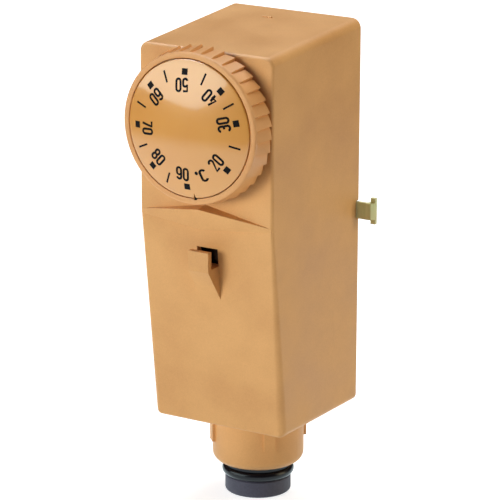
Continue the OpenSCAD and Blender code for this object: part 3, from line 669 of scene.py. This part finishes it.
def soften_case(form):
    """Rounds the long corners, then the front edge, wider towards the foot."""

    def long_corner(edge):
        a, b = edge_ends(edge)
        return abs(a.y - b.y) > 5 and min(abs(a.z), abs(b.z)) > 40

    def front_rim(edge):
        return sum(face.normal.y < -0.9 for face in edge.link_faces) == 1

    for upper, radius in ((True, CORNER_R), (False, FOOT_CORNER_R)):
        pick(
            form, "EDGE",
            lambda edge: long_corner(edge) and (edge.verts[0].co.z > 0) == upper,
        )
        round_off(radius, 8)
    pick(form, "EDGE", front_rim)
    round_off(FRONT_EDGE_R, 4)
    bpy.ops.object.mode_set(mode="OBJECT")
    for side in (-1, 1):
        widen_foot_corner(form, side)
    return form


def widen_foot_corner(form, side):
    """Widens the front edge's rounding round one lower corner, most at its side."""
    centre = Vector((side * (FRONT_HALF - FOOT_CORNER_R), FOOT_Z + FOOT_CORNER_R))
    for vert in form.data.vertices:
        at = vert.co / MM
        behind = at.y - face_y(at.z)
        low_front = at.z < centre.y + 0.2 and behind < FRONT_EDGE_R + 0.1
        out = Vector((at.x, at.z)) - centre
        if not low_front or side * out.x <= 0:
            continue
        inward = max(0.0, FOOT_CORNER_R - out.length)
        growth = (FOOT_EDGE_GROWTH - 1) * out.normalized().x ** 2
        wider = out.normalized() * inward * growth
        vert.co += Vector((-wider.x, behind * growth, -wider.y)) * MM


def make_visor():
    """The pointed visor under the dial: a bar drawn out in the middle."""
    end_x = FRONT_HALF - 0.4
    inner_y = FACE_Y + WALL / 2
    under_z = VISOR_Z - VISOR_T
    visor = block("visor", (-end_x, FACE_Y, under_z), (end_x, inner_y, VISOR_Z))
    pick(visor, "VERT", everything)
    bpy.ops.mesh.bisect(plane_co=(0, 0, 0), plane_no=(1, 0, 0))
    peaks = [
        (FACE_Y, VISOR_Z, (0, -VISOR_REACH, 3.2)),
        (FACE_Y, under_z, (0, -VISOR_UNDER_REACH, -1.0)),
        (inner_y, VISOR_Z, (0, 0, 3.6)),
        (inner_y, under_z, (0, 0, -1.6)),
    ]
    for y, z, move in peaks:
        place = Vector((0, y, z))
        pick(visor, "VERT", lambda at: (at - place).length < 0.1)
        shift(move)
    bpy.ops.object.mode_set(mode="OBJECT")

    def ridge(middle):
        return middle.y < FACE_Y - 0.6

    round_sharp_edges(visor, 0.22, 3, 20, ridge)
    return mend(visor)


def make_hood():
    """The hood over the release slot: an upright plate that runs down to a foot."""
    sill_y = face_y(SLOT_LOW_Z) + WALL / 2
    hood = block(
        "hood", (-SLOT_HALF, HOOD_Y, SLOT_LOW_Z), (SLOT_HALF, HOOD_Y + HOOD_T, SLOT_HIGH_Z)
    )
    pick(hood, "FACE", lambda at, normal: normal.z < -0.9)
    push_out((0, 0, HOOD_TURN_Z - SLOT_LOW_Z))
    pick(hood, "FACE", lambda at, normal: normal.y > 0.9 and at.z < SLOT_LOW_Z)
    push_out((0, sill_y - HOOD_Y - HOOD_T, 0))
    pick(hood, "FACE", lambda at, normal: normal.z < -0.9)
    push_out((0, 0, HOOD_FOOT_Z - HOOD_TURN_Z))
    bpy.ops.object.mode_set(mode="OBJECT")
    for vert in hood.data.vertices:
        at = vert.co / MM
        if at.z < HOOD_FOOT_Z + 0.1:
            depth = 0.02 if at.y < HOOD_Y + 0.1 else WALL / 2
            vert.co.y = (face_y(HOOD_FOOT_Z) + depth) * MM
    round_sharp_edges(
        hood, 0.18, 2, 20, lambda at: at.y < face_y(at.z) - 0.35 and at.z > HOOD_FOOT_Z + 1
    )
    return mend(hood)


def make_case():
    """The cover: a hollow moulding, open behind, with its visor, hood and openings."""
    case = soften_case(case_form("case", 0, BACK_Y))
    combine(case, make_visor(), "UNION")
    combine(case, make_hood(), "UNION")
    combine(case, case_form("cavity", WALL, BACK_Y + 4))
    slot_front_y = face_y(SLOT_LOW_Z) - 0.6
    combine(case, block(
        "slot", (-SLOT_HALF, slot_front_y, SLOT_LOW_Z), (SLOT_HALF, FACE_Y + 6, SLOT_HIGH_Z)
    ))
    spindle_hole_r = 5
    combine(case, rod(
        "spindle_hole", spindle_hole_r, (0, FACE_Y - 2, DIAL_Z), (0, FACE_Y + 4, DIAL_Z)
    ))
    arm, far = ARM_HALF + FIT_GAP, 30
    combine(case, block("lug_gap", (-far, SHEET_Y - FIT_GAP, -arm), (far, BACK_Y + 1, arm)))
    collar = NECK_R + FIT_GAP
    combine(case, rod(
        "neck_hole", collar, (0, NECK_Y, FOOT_Z - 2), (0, NECK_Y, FOOT_Z + WALL + 1), 96
    ))
    combine(case, block(
        "neck_gap", (-collar, NECK_Y, FOOT_Z - 2), (collar, BACK_Y + 1, FOOT_Z + WALL + 1)
    ))
    catch_y, catch_z, catch_half = -35.5, BOTTOM_Z + 50.5, 2.4
    lip_y = catch_y - catch_half
    rib = block(
        "catch_rib", (-SLOT_HALF, face_y(catch_z) + WALL / 2, catch_z + 2.9),
        (SLOT_HALF, lip_y, catch_z + 4.3)
    )
    lip = block(
        "catch_lip", (-SLOT_HALF, lip_y - 1.2, catch_z + 1.2), (SLOT_HALF, lip_y, catch_z + 3.4)
    )
    combine(rib, lip, "UNION")
    combine(case, rib, "UNION")
    return finish(mend(case), "case", "orange_case", ["cover"])


def make_gate_mark():
    """The small curved gate mark that moulding left on the case's top."""
    place = Vector((-2.6, -9.9, TOP_Z - 0.42))
    bend, thickness = -0.14, 0.26
    line = [place + Vector((x, bend * x * x, 0)) for x in (-1.3, -0.8, -0.3, 0.3, 0.8, 1.3)]
    mark = thicken(wire("gate_mark", line), thickness, 3)
    return finish(mend(mark), "case", "orange_case")


# ---------------------------------------------------------------- the dial


def make_knob():
    """The knob: a rim, a skirt of saw-toothed grip ribs, and a web with a hub."""
    axis = Vector((0, 0, DIAL_Z))
    pitch = 360 / RIBS
    start_y = KNOB_FRONT_Y + RIM_DEPTH
    take(None)
    bpy.ops.mesh.primitive_circle_add(
        vertices=RIBS * len(RIB_CORNERS), radius=RIM_R * MM, fill_type="NOTHING",
        location=(0, start_y * MM, DIAL_Z * MM), rotation=(math.pi / 2, 0, 0),
    )
    knob = bpy.context.object
    knob.name = "knob_body"
    settle(knob)
    for vert in knob.data.vertices:
        at = vert.co / MM - axis
        place = math.degrees(math.atan2(at.x, at.z)) % 360 / pitch
        corner = round(place * len(RIB_CORNERS)) % len(RIB_CORNERS)
        rib = round(place - corner / len(RIB_CORNERS))
        angle = math.radians(rib * pitch + RIB_CORNERS[corner])
        vert.co.x = RIM_R * math.sin(angle) * MM
        vert.co.z = (DIAL_Z + RIM_R * math.cos(angle)) * MM

    def rib_height(angle):
        """Height of the grip at an angle: a groove, then a slow climb to the crest."""
        angle %= pitch
        if min(angle, pitch - angle) < 0.4:
            return -RIB_STEP * 0.55 - RIB_GROOVE
        first, last = RIB_CORNERS[1], RIB_CORNERS[-1]
        return RIB_STEP * ((angle - first) / (last - first) - 0.55)

    def place_at(vert, y, radius):
        """Puts a point at a depth and a distance from the dial's axis."""
        at = vert.co / MM - axis
        outward = Vector((at.x, 0, at.z)).normalized()
        vert.co = (axis + Vector((0, y, 0)) + outward * radius) * MM

    def ring(step, radius, now):
        """One more row: carried along the axis and drawn to a round radius."""
        push_out((0, step, 0))
        bpy.ops.object.mode_set(mode="OBJECT")
        after = now + step
        for vert in [v for v in knob.data.vertices if v.select]:
            place_at(vert, after, radius)
        bpy.ops.object.mode_set(mode="EDIT")
        return after

    # the skirt, from the rim back to the ribs' full depth: step, flare, share of depth
    pick(knob, "VERT", everything)
    y = start_y
    for step, flare, share in ((0.5, 0.08, 0.5), (2.4, 0.3, 0.85), (2.6, 0.55, 1), (0.3, 0.4, 1)):
        push_out((0, step, 0))
        y += step
        bpy.ops.object.mode_set(mode="OBJECT")
        for vert in knob.data.vertices:
            at = vert.co / MM - axis
            if abs(at.y - y) < 0.01:
                around = math.degrees(math.atan2(at.x, at.z))
                place_at(vert, at.y, RIM_R + flare + share * rib_height(around))
        pick(knob, "VERT", lambda at: abs(at.y - y) < 0.01)

    # round the back edge, up inside the skirt, across the web and down the hub
    for back_y, radius in (
        (y, RIM_R - 1.2), (KNOB_FRONT_Y + 2.9, RIM_R - 1.6), (KNOB_FRONT_Y + 2.9, HUB_R),
        (KNOB_BACK_Y - 0.05, HUB_R), (KNOB_BACK_Y - 0.05, BORE_R), (KNOB_FRONT_Y + 2.4, BORE_R),
    ):
        y = ring(back_y - y, radius, y)
    bpy.ops.mesh.edge_face_add()
    bpy.ops.object.mode_set(mode="OBJECT")

    # the rim: rounded outside, flat in front, down to the seat of the disc
    pick(knob, "VERT", lambda at: abs(at.y - start_y) < 0.01)
    y = start_y
    seat_r = RIM_R - RIM_W
    for step, radius in (
        (-0.3, RIM_R), (-0.22, RIM_R - 0.09), (-0.15, RIM_R - 0.28), (-0.08, RIM_R - 0.52),
        (0.0, seat_r + 0.2), (0.12, seat_r), (1.4, seat_r),
    ):
        y = ring(step, radius, y)
    bpy.ops.mesh.edge_face_add()
    bpy.ops.object.mode_set(mode="OBJECT")
    combine(mend(knob), rim_notch("rim_notch"))
    return finish(mend(knob), "dial", "orange_knob", ["knob"], 28)


def rim_notch(name, front=-0.8, depth=1.9):
    """A small three-cornered notch where the disc meets the rim."""
    angle = math.radians(NOTCH_TURN)
    out = Vector((math.sin(angle), 0, math.cos(angle)))
    across = Vector((math.cos(angle), 0, -math.sin(angle)))
    centre = Vector((0, KNOB_FRONT_Y + front, DIAL_Z))
    wedge = wire(name, [
        centre + out * NOTCH_TIP_R,
        centre + out * NOTCH_MOUTH_R + across * NOTCH_HALF,
        centre + out * NOTCH_MOUTH_R - across * NOTCH_HALF,
    ])
    bpy.ops.mesh.select_all(action="SELECT")
    bpy.ops.mesh.edge_face_add()
    push_out((0, depth, 0))
    bpy.ops.object.mode_set(mode="OBJECT")
    return mend(wedge)


def make_disc():
    """The printed disc: a low dome with a rounded edge."""
    rows = 16
    edge_r = DISC_R - 0.3
    edge_y, back_y = dome_y(edge_r), KNOB_FRONT_Y + 1.55
    radii = [edge_r * i / rows for i in range(rows + 1)]
    outline = [(r, dome_y(r)) for r in radii]
    outline += [(DISC_R - 0.08, edge_y + 0.12), (DISC_R, edge_y + 0.32)]
    outline += [(DISC_R, back_y), (0.0, back_y)]
    disc = lathe("printed_disc", outline, (0, 0, DIAL_Z), (0, 1, 0), 128)
    combine(disc, rim_notch("disc_notch"))
    return finish(disc, "dial", "dial_print", ["dial_disc"])


def make_notch_shade():
    """Painted shade: a thin sheet of black ink at the bottom of the notch, standing in for the
    shade deep inside it.
    """
    finish_print(rim_notch("notch", 0.35, 0.25), "notch_shade")


# The print: half the width of a stroke, and the size of a figure about its middle
STROKE = 0.33
FIGURE_HALF_W = 0.6
FIGURE_HALF_H = 1.48
BOWL_Z = FIGURE_HALF_H - FIGURE_HALF_W


def bowl(z, start, end, width=FIGURE_HALF_W):
    """A round part of a figure, centred at a height."""
    return arc((0, z), width, start, end, 10)


def strokes_of(figure):
    """The lines that draw one figure, each a list of (x, z) points."""
    w, h = FIGURE_HALF_W, FIGURE_HALF_H
    six = [bowl(BOWL_Z, 15, 180) + bowl(-BOWL_Z, 180, 360) + bowl(-0.22, 0, 165)]
    figures = {
        "0": [bowl(BOWL_Z, 0, 180) + bowl(-BOWL_Z, 180, 360) + [(w, BOWL_Z)]],
        "2": [bowl(BOWL_Z, 175, -20) + [(-w, -h), (w, -h)]],
        "3": [
            bowl(BOWL_Z, 170, 0) + [(w, 0.42)] + arc((w - 0.32, 0.36), 0.32, 0, -90, 4)
            + [(-0.12, 0.04)],
            [(-0.12, 0.04)] + arc((w - 0.32, -0.28), 0.32, 90, 0, 4)
            + bowl(-BOWL_Z, 0, -170),
        ],
        "4": [[(0.16, h), (-w - 0.08, -0.6), (w + 0.12, -0.6)], [(0.3, 0.35), (0.3, -h)]],
        "5": [
            [(w, h), (-w + 0.04, h), (-w, 0.12)] + bowl(-0.22, 145, 0)
            + bowl(-BOWL_Z, 0, -170)
        ],
        "6": six,
        "7": [[(-w, h), (w, h), (w, h - 0.25), (-0.15, -h)]],
        "8": [
            bowl(BOWL_Z + 0.04, 0, 180, 0.56) + bowl(0.62, 180, 360, 0.56)
            + [(0.56, BOWL_Z)],
            bowl(-0.56, 0, 180) + bowl(-BOWL_Z, 180, 360) + [(w, -0.56)],
        ],
        "9": [[(-x, -z) for x, z in line] for line in six],
        "degree": [arc((0, 0), 0.2, 0, 360, 8)],
        "C": [bowl(BOWL_Z, 12, 180) + bowl(-BOWL_Z, 180, 348)],
    }
    return figures[figure]


def stroke(points):
    """One line of print."""
    return thicken(wire("stroke", [(x, 0, z) for x, z in points]), STROKE, 1)


FIGURE_CACHE = {}


def figure_at(figure, offset, size=1.0, width=1.0):
    """A figure of print, drawn once and copied, moved sideways by offset."""
    if figure not in FIGURE_CACHE:
        FIGURE_CACHE[figure] = join(
            "figure_" + figure, [stroke(line) for line in strokes_of(figure)]
        )
    twin = copy_of(FIGURE_CACHE[figure], "print_" + figure)
    twin.scale = (size * width, 1, size)
    twin.location = (offset[0] * MM, 0, offset[1] * MM)
    return settle(twin)


def print_on_dome(piece, radius, clockwise):
    """Turns a flat mark, its top inward, to its place and lays it on the dome."""
    thickness, proud = 0.09, 0.012
    angle = math.radians(clockwise)
    place = Matrix.Translation((radius * math.sin(angle) * MM, 0, radius * math.cos(angle) * MM))
    piece.data.transform(place @ Matrix.Rotation(angle + math.pi, 4, "Y"))
    for vert in piece.data.vertices:
        out = math.hypot(vert.co.x, vert.co.z) / MM
        over = vert.co.y / MM / STROKE * thickness / 2
        vert.co.y = (dome_y(out) - proud + over) * MM
        vert.co.z += DIAL_Z * MM
    return piece


def finish_print(piece, name):
    """Ink, hard edges, and the body that the print rides on."""
    piece.name = name
    mend(piece)
    take(piece)
    bpy.ops.object.shade_flat()
    piece.data.materials.clear()
    piece.data.materials.append(INK)
    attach(piece, "dial")


def make_print():
    """The scale: figures, squares at the tens, lines between, and the degree sign.

    Each mark has its angle, clockwise from the top as the dial is seen.
    """
    number_r, sign_r, square_r, line_r = 11.1, 11.8, 14.3, 13.85
    numbers = {20: 129, 30: 76, 40: 38, 50: -5.5, 60: -49.5, 70: -94, 80: -134.5, 90: -175}
    squares = {20: 127, 30: 77, 40: 42, 50: -2.5, 60: -47, 70: -92, 80: -136, 90: 180}
    lines = {25: 101.5, 35: 58.5, 45: 20, 55: -26, 65: -70.5, 75: -114, 85: -157}
    gap = 0.97
    for number, clockwise in numbers.items():
        tens, ones = str(number)
        pair = [figure_at(tens, (-gap, 0)), figure_at(ones, (gap, 0))]
        finish_print(print_on_dome(join("number", pair), number_r, clockwise), f"number_{number}")
    sign = [figure_at("degree", (-1.25, 1.05)), figure_at("C", (0.45, 0), 0.93, 1.3)]
    finish_print(print_on_dome(join("sign", sign), sign_r, 157), "degree_sign")
    half = STROKE
    for number, clockwise in squares.items():
        square = block("square", (-0.8, -half, -0.75), (0.8, half, 0.75))
        finish_print(print_on_dome(square, square_r, clockwise), f"square_{number}")
    for number, clockwise in lines.items():
        line = block("line", (-0.23, -half, -1.5), (0.23, half, 1.5))
        finish_print(print_on_dome(line, line_r, clockwise), f"line_{number}")
    for figure in FIGURE_CACHE.values():
        bpy.data.objects.remove(figure, do_unlink=True)


# ---------------------------------------------------------------- the gland


def make_gland_nut():
    """The gland nut: a threaded sleeve, a bulging collar and a short round grip."""
    top, low = NUT_TOP_Z, NUT_LOW_Z
    collar_high = BASE_LOW.z - 1.2
    collar_low = collar_high - 2.6
    sleeve_r, grip_r, hole_r, bulge_r = 8.9, 8.52, 5.2, 1.2
    pitch, thread_depth, neck_r = 1.0, 0.35, 8.45
    thread_top, thread_low = top - 1.0, collar_high + 0.6
    outline = [(hole_r, top), (sleeve_r - 0.5, top), (sleeve_r, top - 0.5)]
    for i in range(int((thread_top - thread_low) / pitch)):
        z = thread_top - i * pitch
        outline += [(sleeve_r, z), (sleeve_r - thread_depth, z - pitch * 0.5)]
    outline += [(neck_r, thread_low), (neck_r, collar_high + 0.05)]
    for angle in (math.radians(a) for a in range(75, -76, -15)):
        r = COLLAR_R - bulge_r + bulge_r * math.cos(angle)
        outline.append((r, (collar_high + collar_low) / 2 + 1.3 * math.sin(angle)))
    outline += [(grip_r - 0.4, collar_low - 0.02), (hole_r, collar_low - 0.02)]
    collar = lathe("gland_collar", outline + [outline[0]], (0, NECK_Y, 0), (0, 0, 1))
    finish(collar, "gland", "gland_black", ["gland_nut"], material=GLOSSY_BLACK)
    outline = [(hole_r, collar_low - 0.04), (grip_r - 0.3, collar_low - 0.04)]
    outline += [(grip_r, collar_low - 0.35), (grip_r + 0.02, low + 0.75)]
    outline += arc((grip_r - 0.68, low + 0.7), 0.7, 0, -90, 6)
    outline += [(hole_r + 0.5, low), (hole_r, low + 0.5)]
    grip = lathe("gland_grip", outline + [outline[0]], (0, NECK_Y, 0), (0, 0, 1))
    finish(grip, "gland", "gland_black")


# ---------------------------------------------------------------- the back


def through(name, radius, x, z):
    """A rod to cut a hole with, straight through the plates."""
    return rod(name, radius, (x, SHEET_Y - 2, z), (x, 1, z), 32)


def round_upright_corners(piece, radius):
    """Rounds the corners of a plate, seen from the back."""

    def corner(edge):
        a, b = edge_ends(edge)
        return abs(a.x - b.x) < 0.01 and abs(a.z - b.z) < 0.01

    pick(piece, "EDGE", corner)
    round_off(radius, 4)
    bpy.ops.object.mode_set(mode="OBJECT")
    return piece


def make_strap_plate():
    """The strap plate: a sheet with a bent, eared lug on either side."""
    plate = block(
        "strap_sheet", (-SHEET_HALF, SHEET_Y, PLATE_LOW.z), (SHEET_HALF, BACK_Y, PLATE_HIGH.z)
    )
    round_upright_corners(plate, 1.5)
    for side in (-1, 1):
        arm = block("arm", (ARM_START, SHEET_Y, -ARM_HALF), (ARM_END - 0.4, BACK_Y, ARM_HALF))
        for reach, move in ((0.7, ARM_STEP), (PLATE_HIGH.x - ARM_END - 0.3, 0)):
            pick(arm, "FACE", lambda at, normal: normal.x > 0.7)
            push_out((reach, move, 0))
        bpy.ops.object.mode_set(mode="OBJECT")
        ears = block(
            "ears", (ARM_END + 0.5, SHEET_Y + ARM_STEP, -EAR_HALF),
            (PLATE_HIGH.x, BACK_Y + ARM_STEP, EAR_HALF),
        )
        combine(arm, ears, "UNION")
        if side < 0:
            take(arm)
            arm.scale = (-1, 1, 1)
            settle(arm)
            mend(arm)
        combine(plate, arm, "UNION")
    gap_half = PAD_HALF + FIT_GAP
    combine(plate, block(
        "pad_hole", (-gap_half, SHEET_Y - 1, PAD_LOW_Z - FIT_GAP),
        (gap_half, 1, PAD_HIGH_Z + FIT_GAP),
    ))
    for x, z in CONTACT_RIVETS + BRACKET_RIVETS:
        combine(plate, through("rivet_hole", RIVET_R + HOLE_GAP, x, z))
    combine(plate, through("earth_hole", EARTH_R + HOLE_GAP, *EARTH_PLACE))
    round_sharp_edges(mend(plate), 0.1, 2)
    return finish(mend(plate), "case", "yellow_zinc", ["strap_plate"])


def make_contact_plate():
    """The brass plate that lies on the pipe, and the pad that carries its heat inward."""
    low, high = corners("contact_plate")
    plate = block("contact_face", (low.x, BACK_Y, low.z), (high.x, 0, high.z))
    round_upright_corners(plate, 1.2)
    pad = block(
        "contact_pad", (-PAD_HALF, low.y, PAD_LOW_Z), (PAD_HALF, BACK_Y + 0.5, PAD_HIGH_Z)
    )
    combine(plate, pad, "UNION")
    for x, z in CONTACT_RIVETS:
        combine(plate, through("rivet_hole", RIVET_R + HOLE_GAP, x, z))
        combine(plate, rod(
            "rivet_seat", RIVET_HEAD_R + HOLE_GAP, (x, -RIVET_HEAD_T, z), (x, 1, z), 32
        ))
    for z in BIMETAL_RIVET_ZS:
        combine(plate, rod(
            "pad_hole", BIMETAL_RIVET_R + HOLE_GAP, (0, low.y - 1, z), (0, low.y + 3, z), 24
        ))
    round_sharp_edges(mend(plate), 0.12, 2)
    return finish(mend(plate), "case", "brass", ["contact_plate"])


def rivet(x, z, front_y, front_r, back_y):
    """One rivet: a shank, a domed head in front and a domed head behind."""
    head_t, back_r = RIVET_HEAD_T - HOLE_GAP, RIVET_HEAD_R
    outline = [(0, front_y), (front_r * 0.55, front_y + 0.12), (front_r, front_y + head_t)]
    outline += [(RIVET_R, front_y + head_t), (RIVET_R, back_y - head_t)]
    outline += [(back_r, back_y - head_t), (back_r * 0.93, back_y - 0.25)]
    outline += [(back_r * 0.6, back_y - 0.06), (0, back_y)]
    return lathe("rivet", outline, (x, 0, z), (0, 1, 0), 32)


def make_rivets(name, node, places, front_r):
    """The rivets of a CAD node, in one piece, with front heads of a radius."""
    low, high = corners(node)
    rivets = [rivet(x, z, low.y, front_r, high.y) for x, z in places]
    finish(join(name, rivets), "case", "bright_steel", [node])


# ---------------------------------------------------------------- what the CAD keeps


def dress_cad_nodes():
    """Gives each CAD node the finish of its own slot."""
    for subpart in frame["record"]["subparts"]:
        node = frame["nodes"].get(subpart["node"])
        if node is None:
            continue
        node.data.materials.clear()
        node.data.materials.append(FINISHES[subpart["material_slot"]])


# ---------------------------------------------------------------- the studio


def pale_floor():
    """White to the eye, duller as a bounce, and dark far off where gloss mirrors it."""
    material, tree, shader = start_finish("pale_floor")
    shader.inputs["Base Color"].default_value = (0.62, 0.62, 0.62, 1)
    shader.inputs["Roughness"].default_value = 0.9
    shader.inputs["Specular IOR Level"].default_value = 0.1
    shader.inputs["Emission Color"].default_value = (1, 1, 1, 1)
    ray = tree.nodes.new("ShaderNodeLightPath")
    glow = blend_values(tree, ray.outputs["Is Camera Ray"], FLOOR_BOUNCE, FLOOR_WHITE)
    tree.links.new(glow, shader.inputs["Emission Strength"])
    place = tree.nodes.new("ShaderNodeTexCoord").outputs["Object"]
    reach = tree.nodes.new("ShaderNodeVectorMath")
    reach.operation = "LENGTH"
    tree.links.new(place, reach.inputs[0])
    far_off = spread(tree, reach.outputs["Value"], 0.3, 0.4)
    near = tree.nodes.new("ShaderNodeEmission")
    near.inputs["Color"].default_value = (0.85, 1.0, 1.05, 1)
    near.inputs["Strength"].default_value = FLOOR_GLOSS
    dark = tree.nodes.new("ShaderNodeEmission")
    dark.inputs["Strength"].default_value = 0.05
    seen = tree.nodes.new("ShaderNodeMixShader")
    tree.links.new(far_off, seen.inputs["Fac"])
    tree.links.new(near.outputs["Emission"], seen.inputs[1])
    tree.links.new(dark.outputs["Emission"], seen.inputs[2])
    both = tree.nodes.new("ShaderNodeMixShader")
    tree.links.new(ray.outputs["Is Glossy Ray"], both.inputs["Fac"])
    tree.links.new(shader.outputs["BSDF"], both.inputs[1])
    tree.links.new(seen.outputs["Shader"], both.inputs[2])
    tree.links.new(both.outputs["Shader"], tree.nodes["Material Output"].inputs["Surface"])
    return material


def make_floor():
    """A floor of 8 m, just under the part."""
    take(None)
    bpy.ops.mesh.primitive_plane_add(size=8, location=(0, 0, cad_box[0].z - 0.4 * MM))
    floor = bpy.context.object
    floor.name = "floor"
    floor.data.materials.append(pale_floor())


def add_lamp(name, place, aim, width, height, power, tint=(1, 1, 1)):
    """A flat studio lamp that faces a point; places are in metres."""
    lamp = bpy.data.lights.new(name, "AREA")
    lamp.shape = "RECTANGLE"
    lamp.size = width
    lamp.size_y = height
    lamp.energy = power
    lamp.color = tint
    holder = bpy.data.objects.new(name, lamp)
    bpy.context.collection.objects.link(holder)
    holder.location = place
    holder.rotation_euler = (Vector(aim) - Vector(place)).to_track_quat("-Z", "Y").to_euler()
    return holder


def add_card(name, outline, tint, strength):
    """A bright card that only gloss can see; its corners are in metres."""
    card = wire(name, [Vector(corner) / MM for corner in outline])
    bpy.ops.mesh.select_all(action="SELECT")
    bpy.ops.mesh.edge_face_add()
    bpy.ops.object.mode_set(mode="OBJECT")
    material, tree, shader = start_finish(name)
    shader.inputs["Base Color"].default_value = (0, 0, 0, 1)
    shader.inputs["Emission Color"].default_value = (*tint, 1)
    shader.inputs["Emission Strength"].default_value = strength
    card.data.materials.append(material)
    card.visible_camera = False
    card.visible_diffuse = False
    card.visible_shadow = False
    card.visible_transmission = False


def light_studio():
    """Three lamps, a faint world and two cards that gloss mirrors; places in metres."""
    world = bpy.data.worlds.new("studio")
    bpy.context.scene.world = world
    world.use_nodes = True
    backdrop = world.node_tree.nodes["Background"]
    backdrop.inputs["Color"].default_value = (1.0, 0.82, 0.94, 1)
    backdrop.inputs["Strength"].default_value = 0.07
    aim = (0, -0.02, 0.0)
    add_lamp("overhead", (-0.1, 0.5, 1.3), aim, 0.9, 0.9, 17)
    key = add_lamp("key", (-0.42, -1.0, 0.12), aim, 0.45, 0.3, 6.9)
    key.visible_glossy = False
    add_lamp("side", (1.1, 0.45, 0.3), aim, 0.6, 0.7, 5.2, (1.0, 0.87, 0.6))
    add_card("window", [
        (-1.0, -0.44, 0.03), (-0.75, -0.6, 0.0), (-0.37, -0.84, -0.04), (-0.26, -0.9, 0.03),
        (-0.15, -0.94, 0.18), (0.0, -0.98, 0.5), (-1.0, -0.44, 0.5),
    ], (0.84, 1.0, 1.0), 4.1)
    add_card("upper_window", [
        (-0.9, 0.0, 0.75), (-0.35, -0.65, 0.75), (-0.1, -0.5, 1.0), (-0.65, 0.15, 1.0),
    ], (1.0, 1.0, 1.0), 14.0)


def set_camera():
    """A long lens to the right of the dial and a little above it."""
    turned, raised, rolled = (math.radians(a) for a in (31.31, 16.10, 0.198))
    target = Vector((2.25, -26.0, -7.42)) * MM
    distance, lens, sensor = 0.7582, 216.6, 36
    back = Vector((
        math.sin(turned) * math.cos(raised),
        -math.cos(turned) * math.cos(raised),
        math.sin(raised),
    ))
    level = Vector((math.cos(turned), math.sin(turned), 0))
    upright = back.cross(level)
    right = level * math.cos(rolled) + upright * math.sin(rolled)
    up = back.cross(right)
    camera = bpy.data.objects.new("camera", bpy.data.cameras.new("camera"))
    bpy.context.collection.objects.link(camera)
    camera.data.lens = lens
    camera.data.sensor_width = sensor
    camera.data.clip_start = 0.01
    place = Matrix((right, up, back)).transposed().to_4x4()
    place.translation = target + back * distance
    camera.matrix_world = place
    bpy.context.scene.camera = camera
    bpy.context.scene.view_settings.view_transform = "Standard"


dress_cad_nodes()
make_case()
make_gate_mark()
make_knob()
make_disc()
make_notch_shade()
make_print()
make_gland_nut()
make_strap_plate()
make_contact_plate()
make_rivets("plate_rivets", "contact_rivets", CONTACT_RIVETS, RIVET_HEAD_R)
make_rivets("foot_rivets", "bracket_rivets", BRACKET_RIVETS, SMALL_HEAD_R)
make_floor()
light_studio()
set_camera()
